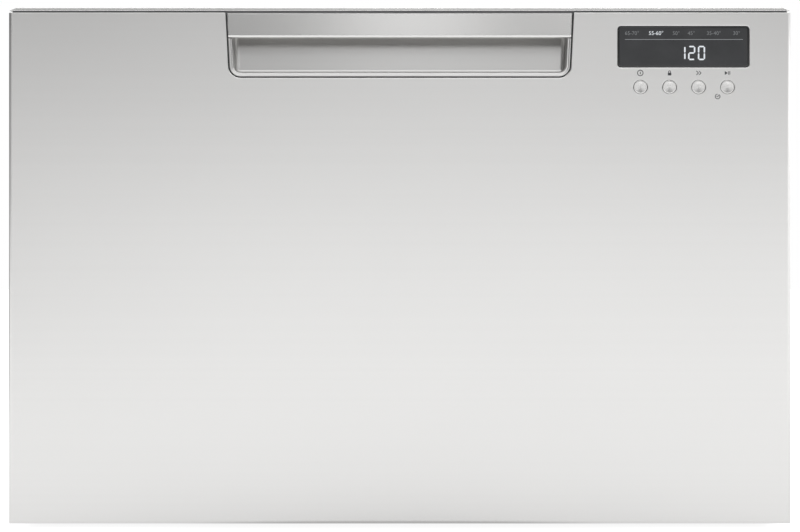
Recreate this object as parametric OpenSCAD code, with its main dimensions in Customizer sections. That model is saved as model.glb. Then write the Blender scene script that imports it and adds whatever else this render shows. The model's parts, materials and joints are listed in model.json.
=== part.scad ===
// A single-drawer dishwasher: a washing tub on side runners behind a steel
// drawer front, inside a sheet-metal chassis with a lid that closes on the tub.
// Millimetres. +Z is up, the drawer front faces -Y, and the origin lies on the
// floor under the middle of the closed appliance.

/* [Overall] */
// Width of the drawer front
front_w = 599; // [585:1:612]
// Height from the floor to the top trim
height = 401; // [399:1:430]
// Depth from the drawer front's face to the chassis back
depth = 573; // [568:1:600]

/* [Drawer front] */
// Thickness of the drawer front
front_t = 23; // [22:0.5:25]
// Gap between the floor and the drawer front
floor_gap = 6; // [3:0.5:12]
// Thickness of the steel skin
skin_t = 1; // [0.7:0.1:1.2]
// Bend radius at the skin's edges
skin_r = 2.6; // [1.8:0.1:4]
// Height of the trim along the top edge
trim_h = 2.1; // [1.6:0.1:3]
// Shadow gap between the trim and the skin
trim_gap = 1.5; // [1:0.1:2.5]
// Chamfer at the trim's ends
trim_chamfer = 5.2; // [2:0.1:8]
// Thickness of the inner panel
inner_t = 2; // [1:0.1:2.5]

/* [Handle] */
// Width of the handle opening at the top
handle_w = 267; // [200:1:300]
// Depth of the handle opening below the skin's top edge
handle_drop = 49; // [42:0.5:56]
// Lean of the opening's sides
handle_lean = 2.9; // [0:0.1:6]
// Corner radius at the bottom of the opening
handle_r = 9.6; // [6:0.1:14]
// Height of the grip bar
bar_h = 19; // [15:0.5:22]
// Thickness of the grip bar
bar_t = 3.5; // [3:0.1:5]
// How far the bar's top lies behind its lower edge
bar_lean = 1.5; // [0:0.1:2]
// Wall of the finger scoop
scoop_wall = 1.5; // [1:0.1:2]
// Groove round the grip bar and the scoop
handle_gap = 1.3; // [0.8:0.1:2]

/* [Controls] */
// Width of the display window
window_w = 100.3; // [80:0.1:106]
// Height of the display window
window_h = 31.2; // [24:0.1:34]
// Centre of the display window, from the right edge of the front
window_edge = 82.3; // [76:0.1:96]
// Centre of the display window, below the top of the front
window_drop = 29.7; // [26:0.1:32]
// Spacing of the push buttons
button_pitch = 22.2; // [18:0.1:24]
// Centre of the push buttons, below the top of the front
button_drop = 60.5; // [58:0.1:64]
// Radius of a button cap
button_r = 4.9; // [3.8:0.1:5]
// Travel of a button
button_travel = 0.8; // [0.4:0.1:0.8]

/* [Chassis] */
// How far the front reaches past the chassis at each side
side_reveal = 3.5; // [2:0.5:5]
// Thickness of the chassis sheet
sheet_t = 1.2; // [0.8:0.1:1.5]
// How far the chassis top lies under the top trim
top_reveal = 2; // [1:0.5:4]
// Width of the flanges round the chassis opening
flange_w = 13; // [10:0.5:13.5]
// Height of the recess for the connections at the back
recess_h = 90; // [85:1:92]
// Depth of the recess for the connections at the back
recess_d = 35; // [30:1:40]
// Underside of the base pan above the floor
pan_z = 8; // [8:0.5:12]
// Thickness of the base pan's floor
pan_t = 3; // [2:0.1:4]
// Height of the base pan's walls
pan_wall_h = 22; // [16:1:26]
// Radius of a levelling foot's pad
foot_r = 20; // [14:0.5:22]
// Radius of a levelling foot's stem
foot_stem_r = 5; // [4:0.1:6]

/* [Runners] */
// Height of the runners above the floor
rail_z = 150; // [140:1:170]
// Height of a runner's outer member
rail_h = 44; // [42:1:50]
// Width of a runner from the chassis side to the carrier
rail_w = 12.7; // [12.5:0.1:13]
// Space between the runners and the chassis back
rail_back_gap = 62; // [55:1:80]
// Diameter of the bearing balls
ball_d = 4.8; // [4.6:0.1:5]
// How many balls each ball row has
balls_per_row = 6; // [4:1:8]

/* [Tub] */
// Width of the carriers between the tub and the runners
carrier_w = 17; // [15:0.5:20]
// Space between the tub and the chassis back
tub_back_gap = 47.5; // [44:0.5:54]
// Wall of the tub
tub_wall = 3; // [2.5:0.1:3.5]
// Radius of the tub's upright corners
tub_r = 40; // [30:1:45]
// Underside of the tub's floor above the floor of the room
tub_z = 75; // [72:1:80]
// How far the tub's rim lies under the top of the front
rim_drop = 27; // [26:0.5:31]
// Space between the drawer front and the tub
tub_gap = 22.5; // [21:0.5:24]
// Outer radius of the sump
sump_r = 95; // [90:1:98]
// Depth of the sump under the tub's floor
sump_d = 29; // [28:0.5:30]

/* [Lid] */
// Travel of the lid down to the tub
lid_travel = 8; // [5:0.5:8]
// Height of the lid's seal
seal_h = 5; // [4:0.1:6]
// Thickness of the lid
lid_t = 2.5; // [2:0.1:3]

/* [Spray arm and pump] */
// Room between the spray arm's ends and the tub's wall
arm_clear = 24; // [18:1:40]
// Height of the spray arm's blade
arm_t = 12; // [10:0.5:13]
// Radius of the motor housing under the sump
motor_r = 60; // [52:1:64]
// Radius of the pump's impeller
impeller_r = 32; // [26:1:38]

/* [Rack] */
// Room between the rack and the tub's side walls
rack_side_gap = 30.5; // [25:0.1:36]
// Room between the rack and the tub's front wall
rack_front_gap = 46; // [43:0.5:52]
// Room between the rack and the tub's back wall
rack_back_gap = 34; // [29:0.5:40]
// Height of the rack's lowest wires
rack_z = 124; // [122:0.5:126]
// Height of the rack's top ring
rack_top = 300; // [280:1:306]
// Radius of a coated wire
wire_r = 2.2; // [1.8:0.1:2.4]
// Length of a tine
tine_h = 72; // [60:1:74]
// Width of a cup shelf
shelf_w = 74; // [60:1:76]
// Length of a cup shelf
shelf_len = 300; // [260:5:320]
// Width of the cutlery basket
basket_w = 244; // [200:1:250]
// Depth of the cutlery basket
basket_d = 65; // [50:1:66]
// Height of the cutlery basket
basket_h = 112; // [90:1:120]

/* [Hidden] */
$fn = 48;

// Clearances
seat_gap = 0.3;      // between pieces that rest on or beside each other
run_gap = 0.08;      // round a shaft that turns in its bore
weld_gap = 0.05;     // between wires that are welded where they cross
slide_gap = 0.2;     // between folded sheets that lie side by side
eps = 0.01;          // how far a cut runs past a face

// Screws
screw_r = 2;
screw_head_r = 4;
screw_head_h = 2;    // stands proud of the sheet
screw_hole_r = screw_r + 0.1;

// Planes across the depth
y_face = -depth / 2;
y_back = depth / 2 - screw_head_h;
y_front_back = y_face + front_t;
gasket_t = 1.7;
y_chassis = y_front_back + seat_gap + gasket_t;
y_recess = y_back - recess_d;
tub_y0 = y_front_back + tub_gap;
tub_y1 = y_back - tub_back_gap;
tub_mid = (tub_y0 + tub_y1) / 2;
rack_y0 = tub_y0 + rack_front_gap;
rack_y1 = tub_y1 - rack_back_gap;

// Planes up the height
z_trim = height - trim_h;
z_skin = z_trim - trim_gap;
z_chassis = height - top_reveal;
z_sheet = z_chassis - sheet_t;
pan_top = pan_z + pan_t;
tub_floor = tub_z + tub_wall;
sump_z = tub_z - sump_d;
rim_z = height - rim_drop;

// Planes across the width
x_chassis = front_w / 2 - side_reveal;
x_inner = x_chassis - sheet_t;
x_rail = x_inner - rail_w;
x_tub = x_rail - carrier_w;

// ---------------------------------------------------------------- helpers

module box(x, y, z) {
    translate([x[0], y[0], z[0]]) cube([x[1] - x[0], y[1] - y[0], z[1] - z[0]]);
}

module along_x(x, y, z, r) {
    translate([x[0], y, z]) rotate([0, 90, 0]) cylinder(h = x[1] - x[0], r = r);
}

module along_y(x, y, z, r) {
    translate([x, y[1], z]) rotate([90, 0, 0]) cylinder(h = y[1] - y[0], r = r);
}

module along_z(x, y, z, r) {
    translate([x, y, z[0]]) cylinder(h = z[1] - z[0], r = r);
}

module both_sides() {
    children();
    mirror([1, 0, 0]) children();
}

// Flat rectangle with round corners
module round_rect(x, y, r) {
    translate([x[0] + r, y[0]]) square([x[1] - x[0] - 2 * r, y[1] - y[0]]);
    translate([x[0], y[0] + r]) square([x[1] - x[0], y[1] - y[0] - 2 * r]);
    for (cx = [x[0] + r, x[1] - r], cy = [y[0] + r, y[1] - r])
        translate([cx, cy]) circle(r);
}

// The same rectangle standing in the XZ plane, as thick as y says
module upright_plate(x, y, z, r) {
    translate([0, y[1], 0]) rotate([90, 0, 0])
        linear_extrude(y[1] - y[0]) round_rect(x, z, r);
}

// Flat slot with round ends, along the first axis
module slot2d(length, width) {
    square([length - width, width], center = true);
    for (s = [-1, 1]) translate([s * (length - width) / 2, 0]) circle(width / 2);
}

// Pan-head screw that points along -Z from its head's seat
module screw(shank_r, shank_l, head_r, head_h, slot_w) {
    difference() {
        union() {
            cylinder(h = head_h, r = head_r);
            translate([0, 0, -shank_l]) cylinder(h = shank_l + eps, r = shank_r);
        }
        for (a = [0, 90]) rotate([0, 0, a])
            translate([0, 0, head_h]) cube([head_r * 1.2, slot_w, head_h], center = true);
    }
}

// ---------------------------------------------------------------- chassis

bead_w = 16;          // width of a pressed stiffening bead
bead_d = 2;           // depth of a pressed stiffening bead
fixing_r = 2.5;       // cabinet fixing holes
side_fix_y = y_chassis + 26;
side_fix_z = [height - 175, height - 61];
bench_fix_x = x_chassis - 96;
bench_fix_y = y_chassis + 18;
top_screw_x = x_inner - 6;
top_screw_y = [y_chassis + 40, y_chassis + 190, y_back - 40];
rear_screw_x = x_inner - 6;
rear_screw_z = [recess_h + 30, (recess_h + z_chassis) / 2, z_chassis - 30];

// A pressed bead standing inwards from a sheet whose outside is the XY plane
module bead(length) {
    translate([0, 0, -bead_d - sheet_t]) linear_extrude(bead_d + eps)
        slot2d(length + 2 * sheet_t, bead_w + 2 * sheet_t);
}

module bead_cut(length) {
    translate([0, 0, -bead_d]) linear_extrude(bead_d + eps) slot2d(length, bead_w);
}

side_bead_z = (rail_z + rail_h / 2 + z_sheet) / 2 - 15;
side_bead_l = depth * 0.42;
side_bead_y = 115;
runner_notch = [rail_z - rail_h / 2 - 1, rail_z + rail_h / 2 + 1];   // the runners pass here

module side_panel() {
    color("silver") difference() {
        union() {
            box([x_inner, x_chassis], [y_chassis, y_back], [pan_z, z_sheet]);
            // flanges round the front opening, along the top and down the back
            box([x_chassis - flange_w, x_inner + eps], [y_chassis, y_chassis + sheet_t],
                [pan_z, z_sheet]);
            box([x_inner - 12, x_inner + eps], [y_chassis, y_back - sheet_t - slide_gap],
                [z_sheet - sheet_t, z_sheet]);
            box([x_inner - 12, x_inner + eps],
                [y_back - 2 * sheet_t - slide_gap, y_back - sheet_t - slide_gap],
                [recess_h + 2, z_sheet]);
            translate([x_chassis, side_bead_y, side_bead_z])
                rotate([0, 90, 0]) rotate([0, 0, 90]) bead(side_bead_l);
        }
        translate([x_chassis, side_bead_y, side_bead_z])
            rotate([0, 90, 0]) rotate([0, 0, 90]) bead_cut(side_bead_l);
        box([x_chassis - flange_w - 1, x_inner], [y_chassis - 1, y_chassis + sheet_t + 1],
            runner_notch);
        for (z = side_fix_z)
            along_x([x_inner - eps, x_chassis + eps], side_fix_y, z, fixing_r);
        for (y = top_screw_y)
            along_z(top_screw_x, y, [z_sheet - sheet_t - eps, z_sheet + eps], screw_hole_r);
        for (z = rear_screw_z)
            along_y(rear_screw_x, [y_back - 3 * sheet_t - slide_gap, y_back], z, screw_hole_r);
    }
}

module top_panel() {
    color("silver") difference() {
        union() {
            box([-x_chassis, x_chassis], [y_chassis, y_back], [z_sheet, z_chassis]);
            box([-x_chassis + flange_w + slide_gap, x_chassis - flange_w - slide_gap],
                [y_chassis, y_chassis + sheet_t], [z_chassis - flange_w, z_sheet + eps]);
        }
        for (x = [-bench_fix_x, bench_fix_x])
            along_z(x, bench_fix_y, [z_sheet - eps, z_chassis + eps], fixing_r);
        for (s = [-1, 1], y = top_screw_y)
            along_z(s * top_screw_x, y, [z_sheet - eps, z_chassis + eps], screw_hole_r);
    }
}

foot_x = x_chassis - 31;
drain_to_foot = 33;   // from the rear left foot's stem to the drain outlet
inlet_x = -150;
inlet_z = 42;
drain_x = drain_to_foot - foot_x;
drain_z = 34;
cord_x = -78;
cord_z = 36;
rear_bead_x = 90;
rear_bead_l = 220;

// The back: upright above, stepped in over the connections
module rear_panel() {
    inner = x_inner - slide_gap;
    rear_bead_z = (recess_h + z_sheet) / 2;
    color("silver") difference() {
        union() {
            box([-inner, inner], [y_back - sheet_t, y_back],
                [recess_h - sheet_t, z_sheet - slide_gap]);
            box([-inner, inner], [y_recess - sheet_t, y_back - eps],
                [recess_h - sheet_t, recess_h]);
            box([-inner, inner], [y_recess - sheet_t, y_recess],
                [pan_z, recess_h - eps]);
            for (x = [-rear_bead_x, rear_bead_x])
                translate([x, y_back, rear_bead_z])
                    rotate([-90, 0, 0]) rotate([0, 0, 90]) bead(rear_bead_l);
        }
        for (x = [-rear_bead_x, rear_bead_x])
            translate([x, y_back, rear_bead_z])
                rotate([-90, 0, 0]) rotate([0, 0, 90]) bead_cut(rear_bead_l);
        along_y(inlet_x, [y_recess - 5, y_recess + 5], inlet_z, inlet_body_r + 0.2);
        along_y(drain_x, [y_recess - 5, y_recess + 5], drain_z, drain_body_r + 0.2);
        along_y(cord_x, [y_recess - 5, y_recess + 5], cord_z, gland_body_r + 0.2);
        for (s = [-1, 1], z = rear_screw_z)
            along_y(s * rear_screw_x, [y_back - 2 * sheet_t, y_back + 1], z, screw_hole_r);
    }
}

foot_y = [y_chassis + 42, y_recess - 26];
boss_r = foot_stem_r + 5;
boss_top = pan_z + 37;
pan_wall = 2.5;
rib_h = 3;            // ribs on the base pan's floor
pan_y0 = y_chassis + sheet_t + slide_gap;
pan_y1 = y_recess - sheet_t - slide_gap;
float_x = 60;
float_y = pan_y1 - 60;
float_r = 22;
well_r = float_r + 3;

module base_pan() {
    px = x_inner - slide_gap;
    color("dimgray") difference() {
        union() {
            difference() {
                box([-px, px], [pan_y0, pan_y1], [pan_z, pan_top + pan_wall_h]);
                box([-px + pan_wall, px - pan_wall], [pan_y0 + pan_wall, pan_y1 - pan_wall],
                    [pan_top, pan_top + pan_wall_h + 1]);
            }
            for (x = [-foot_x, foot_x], y = foot_y)
                along_z(x, y, [pan_z, boss_top], boss_r);
            along_z(float_x, float_y, [pan_top - eps, pan_top + 14], well_r + 2);
            for (i = [1:5])
                translate([0, pan_y0 + i * (pan_y1 - pan_y0) / 6, 0])
                    box([float_x + well_r + 6, px - pan_wall - 5], [-1.25, 1.25],
                        [pan_top - eps, pan_top + rib_h]);
        }
        for (x = [-foot_x, foot_x], y = foot_y)
            along_z(x, y, [pan_z - eps, boss_top + eps], foot_stem_r + run_gap);
        along_z(float_x, float_y, [pan_top, pan_top + 14 + eps], well_r);
        along_y(inlet_x, [pan_y1 - 5, pan_y1 + 1], inlet_z, inlet_body_r + 1);
        along_y(drain_x, [pan_y1 - 5, pan_y1 + 1], drain_z, drain_body_r + 1);
        along_y(cord_x, [pan_y1 - 5, pan_y1 + 1], cord_z, gland_body_r + 1);
        // the front wall is low, so that the motor passes over it
        box([-foot_x + boss_r, foot_x - boss_r], [pan_y0 - 1, pan_y0 + pan_wall + 1],
            [pan_top + 5, pan_top + pan_wall_h + 1]);
        // float well drains to the pan
        box([float_x - well_r - 4, float_x + well_r + 4], [float_y - 3, float_y + 3],
            [pan_top, pan_top + 8]);
    }
}

module front_gasket() {
    gy = [y_chassis - gasket_t, y_chassis];
    color("black") {
        for (z = [[pan_z + 4, runner_notch[0]], [runner_notch[1], z_chassis - 4]])
            both_sides() box([x_chassis - flange_w + 2, x_chassis - 3], gy, z);
        box([-x_chassis + flange_w + 2, x_chassis - flange_w - 2], gy,
            [z_chassis - flange_w + 2, z_chassis - 4]);
    }
}

module foot() {
    color("dimgray") {
        cylinder(h = pan_z - seat_gap - 3, r = foot_r);
        translate([0, 0, pan_z - seat_gap - 3 - eps]) cylinder(h = 3, r1 = foot_r - 1, r2 = boss_r + 2);
        cylinder(h = boss_top + 2, r = foot_stem_r);
    }
}

module foot_at(side, y) {
    translate([side * foot_x, y, 0]) foot();
}

module flood_float() {
    color("white") difference() {
        along_z(float_x, float_y, [pan_top + seat_gap, pan_top + 12], float_r);
        along_z(float_x, float_y, [pan_top + 6, pan_top + 13], float_r - 8);
    }
}

module chassis_screws() {
    color("gainsboro") {
        for (s = [-1, 1], y = top_screw_y)
            translate([s * top_screw_x, y, z_chassis]) scale_screw_down();
        for (s = [-1, 1], z = rear_screw_z)
            translate([s * rear_screw_x, y_back, z]) rotate([-90, 0, 0]) scale_screw_down();
    }
}

// Chassis screws are sunk so that their heads stay inside the sheet's dimple
module scale_screw_down() {
    screw(screw_r, 7, screw_head_r, screw_head_h, 1);
}

// ---------------------------------------------------------------- runners

rail_t = 1.5;                              // gauge of the runner steel
mid_h = rail_h - 2 * rail_t - 2 * (ball_d + 0.2);
mid_t = 1.2;
slim_h = mid_h - 2 * mid_t - 2 * (ball_d + 0.2);
rail_y0 = y_chassis + 4;
rail_y1 = y_back - rail_back_gap;
rail_len = rail_y1 - rail_y0;
mid_u = [4, 10.5];
slim_u = [8, rail_w];

// A C-shaped member along Y: its web lies at u[0] from the chassis side
module channel(u, h, t, y, web_first = true) {
    x0 = x_inner - u[1];
    x1 = x_inner - u[0];
    z0 = rail_z - h / 2;
    z1 = rail_z + h / 2;
    difference() {
        box([x0, x1], y, [z0, z1]);
        if (web_first) box([x0 - 1, x1 - t], [y[0] - 1, y[1] + 1], [z0 + t, z1 - t]);
        else box([x0 + t, x1 + 1], [y[0] - 1, y[1] + 1], [z0 + t, z1 - t]);
    }
}

module chassis_rails() {
    color("lightsteelblue") both_sides()
        channel([0, 8], rail_h, rail_t, [rail_y0, rail_y1]);
}

module mid_rails() {
    color("lightsteelblue") both_sides()
        channel(mid_u, mid_h, mid_t, [rail_y0 + 2, rail_y1 - 2]);
}

module drawer_rails() {
    color("lightsteelblue") both_sides()
        channel(slim_u, slim_h, mid_t, [rail_y0, rail_y1], false);
}

// Balls between two members, over the half of the runner in which those members
// still overlap when the drawer is fully out. u is the row's place from the
// chassis side and h the height of the member inside the row.
module balls(u, h) {
    end = rail_len / 4 + 12;
    step = (rail_len - 2 * end) / (balls_per_row - 1);
    z = h / 2 + ball_d / 2 + 0.1;
    color("white") both_sides() for (i = [0:balls_per_row - 1], s = [-1, 1])
        translate([x_inner - u, rail_y0 + end + i * step, rail_z + s * z])
            sphere(ball_d / 2);
}

module outer_balls() {
    balls(5.6, mid_h);
}

module inner_balls() {
    balls(9.3, slim_h);
}

carrier_h = 23;
carrier_t = 1.5;
carrier_y1 = tub_y1 - 20;
bracket_h = 90;
bracket_t = 1.5;
front_screw_z = [rail_z - 32, rail_z + 32];

// Steel tubes that join the runners, the tub and the drawer front
module carriers() {
    x0 = x_tub + slide_gap;
    x1 = x_rail - slide_gap;
    y0 = y_front_back;
    color("lightgray") both_sides() difference() {
        union() {
            difference() {
                box([x0, x1], [y0, carrier_y1], [rail_z - carrier_h / 2, rail_z + carrier_h / 2]);
                box([x0 + carrier_t, x1 - carrier_t], [y0 + bracket_t, carrier_y1 + 1],
                    [rail_z - carrier_h / 2 + carrier_t, rail_z + carrier_h / 2 - carrier_t]);
            }
            box([x0, x1], [y0, y0 + bracket_t], [rail_z - bracket_h / 2, rail_z + bracket_h / 2]);
        }
        for (z = front_screw_z)
            along_y((x0 + x1) / 2, [y0 - 1, y0 + bracket_t + 1], z, screw_hole_r);
    }
}

// Screws that hold the drawer front to the carriers
module front_screws() {
    color("gainsboro") for (s = [-1, 1], z = front_screw_z)
        translate([s * (x_tub + x_rail) / 2, y_front_back + bracket_t, z])
            rotate([-90, 0, 0]) screw(screw_r, bracket_t + inner_t + 4, screw_head_r, screw_head_h, 1);
}

// ---------------------------------------------------------------- drawer front

// Plan or side outline of the front, round at its face
module front_profile(half, d, r, both = true) {
    translate([both ? -half : -half + r, r]) square([both ? 2 * half : 2 * half - r, d - r]);
    translate([-half + r, 0]) square([2 * half - 2 * r, r + eps]);
    translate([-half + r, r]) circle(r);
    if (both) translate([half - r, r]) circle(r);
}

// Solid body of the front, smaller by inset on its face, sides and bottom
module front_body(inset) {
    half = front_w / 2 - inset;
    r = skin_r - inset;
    z0 = floor_gap + inset;
    intersection() {
        translate([0, y_face + inset, z0 - 1]) linear_extrude(z_skin - z0 + 2)
            front_profile(half, front_t + 5, r);
        difference() {
            box([-half - 1, half + 1], [y_face + inset - 1, y_front_back + (inset > 0 ? 1 : 0)],
                [z0, z_skin + (inset > 0 ? 1 : 0)]);
            // round the lower front edge
            difference() {
                box([-half - 2, half + 2], [y_face + inset - 2, y_face + inset + r],
                    [z0 - 1, z0 + r]);
                along_x([-half - 3, half + 3], y_face + inset + r, z0 + r, r);
            }
        }
    }
}

// Outline of the handle opening, in X and Z, drawn in by inset
function handle_centre() = let (cz = z_skin - handle_drop + handle_r)
    [handle_w / 2 - (handle_r + sin(handle_lean) * (z_skin - cz)) / cos(handle_lean), cz];
function handle_side(inset, z) = let (c = handle_centre())
    c[0] + (handle_r - inset + sin(handle_lean) * (z - c[1])) / cos(handle_lean);
function handle_half(inset, top) = let (c = handle_centre(), r = handle_r - inset, n = 8)
    concat([[handle_side(inset, top), top]],
        [for (i = [0:n]) let (a = -handle_lean - i * (90 - handle_lean) / n)
            [c[0] + r * cos(a), c[1] + r * sin(a)]]);
function handle_outline(inset, top) = let (h = handle_half(inset, top), n = len(h))
    concat(h, [for (i = [n - 1:-1:0]) [-h[i][0], h[i][1]]]);

module handle_prism(inset, y, top) {
    translate([0, y[1], 0]) rotate([90, 0, 0])
        linear_extrude(y[1] - y[0]) polygon(handle_outline(inset, top));
}

window_x = front_w / 2 - window_edge;
button_x = [for (i = [0:3]) window_x + (i - 1.5) * button_pitch + 0.5];
button_z = height - button_drop;
window_z = height - window_drop;
window_gap = 0.3;
button_hole_r = button_r + 0.6;

module window_plate(grow, y, r) {
    upright_plate([window_x - window_w / 2 - grow, window_x + window_w / 2 + grow], y,
        [window_z - window_h / 2 - grow, window_z + window_h / 2 + grow], r);
}

module front_skin() {
    color("gainsboro") difference() {
        front_body(0);
        front_body(skin_t);
        handle_prism(0, [y_face - 1, y_face + 5], z_skin + 1);
        window_plate(window_gap, [y_face - 1, y_face + 5], 2.5);
        for (x = button_x) along_y(x, [y_face - 1, y_face + 5], button_z, button_hole_r);
    }
}

trim_top_gap = 3;     // how far the trim's foot stands behind the face

module top_trim() {
    half = front_w / 2 - 0.8;
    lip_half = front_w / 2 - skin_t - seat_gap;
    color("gainsboro") {
        translate([0, y_front_back, 0]) rotate([90, 0, 0]) linear_extrude(front_t)
            polygon([[-half, z_trim], [half, z_trim],
                [half - trim_chamfer, height], [-half + trim_chamfer, height]]);
        // foot that drops behind the skin on both sides of the handle
        both_sides()
            box([handle_w / 2 + 8, lip_half - 2],
                [y_face + trim_top_gap, y_face + trim_top_gap + 2], [z_skin - 8, z_trim + eps]);
    }
}

module inner_panel() {
    half = front_w / 2 - skin_t - seat_gap;
    color("lightgray") difference() {
        box([-half, half], [y_front_back - inner_t, y_front_back],
            [floor_gap + skin_t + seat_gap, z_trim - seat_gap]);
        handle_prism(-1, [y_front_back - inner_t - 1, y_front_back + 1], z_skin + 5);
        for (s = [-1, 1], z = front_screw_z)
            along_y(s * (x_tub + x_rail) / 2, [y_front_back - inner_t - 1, y_front_back + 1],
                z, screw_hole_r);
    }
}

scoop_y1 = y_front_back - 0.6;         // back of the finger scoop
scoop_flange_y = y_face + 3.2;

module insulation_pad() {
    y0 = y_face + skin_t + seat_gap;
    y1 = y_front_back - inner_t - seat_gap;
    color("darkslategray") difference() {
        box([-front_w / 2 + 8, front_w / 2 - 8], [y0, y1], [floor_gap + 6, button_z - 22]);
        for (s = [-1, 1], z = front_screw_z)
            along_y(s * (x_tub + x_rail) / 2, [y0 - 1, y1 + 1], z, screw_hole_r + 2);
    }
}

bar_top = z_skin - 0.15;
web_t = 3;                             // web along the bar's top

module bar_envelope(grow) {
    intersection() {
        handle_prism(handle_gap - grow, [y_face - 1, y_face + bar_t + grow], bar_top + grow);
        box([-handle_w, handle_w], [y_face - 2, y_face + bar_t + grow],
            [bar_top - bar_h - grow, bar_top + grow + 1]);
    }
}

// Grip bar: a leaning face with a rolled lower edge and a web along its top
module handle_bar() {
    z0 = bar_top - bar_h;
    roll = bar_t / 2;
    color("gainsboro") intersection() {
        handle_prism(handle_gap, [y_face - 1, y_front_back + 5], bar_top);
        union() {
            translate([-handle_w, 0, 0]) rotate([90, 0, 90]) linear_extrude(2 * handle_w)
                polygon([[y_face, z0 + roll], [y_face + bar_t, z0 + roll],
                    [y_face + bar_t, bar_top], [y_face + bar_lean, bar_top]]);
            along_x([-handle_w, handle_w], y_face + roll, z0 + roll, roll);
            box([-handle_w, handle_w], [y_face + bar_t - eps, scoop_y1 - scoop_wall - seat_gap],
                [bar_top - web_t, bar_top]);
        }
    }
}

// Finger scoop: a pressed pan behind the opening
module handle_scoop() {
    y1 = scoop_y1;
    color("silver") difference() {
        union() {
            handle_prism(handle_gap, [y_face + seat_gap, y1], bar_top);
            handle_prism(-5, [scoop_flange_y, scoop_flange_y + 1.2], z_skin - 1);
        }
        handle_prism(handle_gap + scoop_wall, [y_face - 1, y1 - scoop_wall], z_skin + 1);
        bar_envelope(seat_gap);
        // the bar's web passes over the pan's side walls
        box([-handle_w, handle_w], [y_face - 1, y1 - scoop_wall],
            [bar_top - web_t - seat_gap, z_skin + 2]);
    }
}

module display_window() {
    color("dimgray") window_plate(0, [y_face + 0.3, y_face + 2.1], 2.3);
}

housing_y = [y_face + 4.5, y_front_back - inner_t - seat_gap];
housing_x = [window_x - 56, window_x + 56];
housing_z = [button_z - 12, z_skin - 10];

module control_housing() {
    color("dimgray") difference() {
        union() {
            difference() {
                box(housing_x, housing_y, housing_z);
                box([housing_x[0] + 2, housing_x[1] - 2], [housing_y[0] + 2, housing_y[1] + 1],
                    [housing_z[0] + 2, housing_z[1] - 2]);
            }
            // frame that carries the window
            window_plate(1.5, [y_face + 2.1, housing_y[0] + eps], 3);
        }
        window_plate(-1.5, [y_face, housing_y[0] + 3], 1);
        for (x = button_x)
            along_y(x, [housing_y[0] - 3, housing_y[0] + 3], button_z, 2.5 + run_gap);
    }
}

board_y = y_front_back - 4.9;
stem_end = board_y - 3.2 - button_travel - 0.1;

module control_board() {
    color("darkgreen") {
        box([housing_x[0] + 3, housing_x[1] - 3], [board_y - 1.6, board_y],
            [housing_z[0] + 3, housing_z[1] - 3]);
        // display glass with its backlight
        box([window_x - window_w / 2 + 2, window_x + window_w / 2 - 2],
            [y_face + 2.4, board_y - 1.5],
            [window_z - window_h / 2 + 2, window_z + window_h / 2 - 2]);
        for (x = button_x)
            box([x - 3, x + 3], [board_y - 3.2, board_y - 1.5], [button_z - 3, button_z + 3]);
    }
}

// A push button: cap, retaining collar and stem
module button(i) {
    color("whitesmoke") translate([button_x[i], 0, button_z]) {
        along_y(0, [y_face + 0.8, y_face + skin_t + seat_gap + 0.5], 0, button_r);
        translate([0, y_face + 0.8 + eps, 0]) rotate([90, 0, 0])
            cylinder(h = 0.8, r1 = button_r, r2 = button_r - 0.8);
        along_y(0, [y_face + skin_t + seat_gap, y_face + skin_t + seat_gap + 1], 0, button_r + 1.6);
        along_y(0, [y_face + skin_t + seat_gap, stem_end], 0, 2.5);
    }
}

// ---------------------------------------------------------------- tub

flange_x = x_tub + 7;
flange_y = [y_front_back + seat_gap, tub_y1 + 7];
flange_t = 4;
disp_x = [-76, 76];
disp_z = [rim_z - 149, rim_z - 89];
fan_x = -190;
fan_z = rim_z - 74;
fan_r = 27;
bend_r = 12.3;        // bends of the rack's wires
rack_x = x_tub - rack_side_gap;
long_step = (rack_x - 2 * bend_r) / 3;
long_x = [for (i = [-3:3]) i * long_step];     // the rack's lengthwise wires
post_inset = 11;      // from the end of a long wire's straight run
post_y = [rack_y0 + bend_r + post_inset, rack_y1 - bend_r - post_inset];
post_top = rack_z - wire_r - seat_gap;
spigot_a = 135;       // direction of the sump's outlet

module tub_outline(grow) {
    round_rect([-x_tub - grow, x_tub + grow], [tub_y0 - grow, tub_y1 + grow], tub_r + grow);
}

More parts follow.
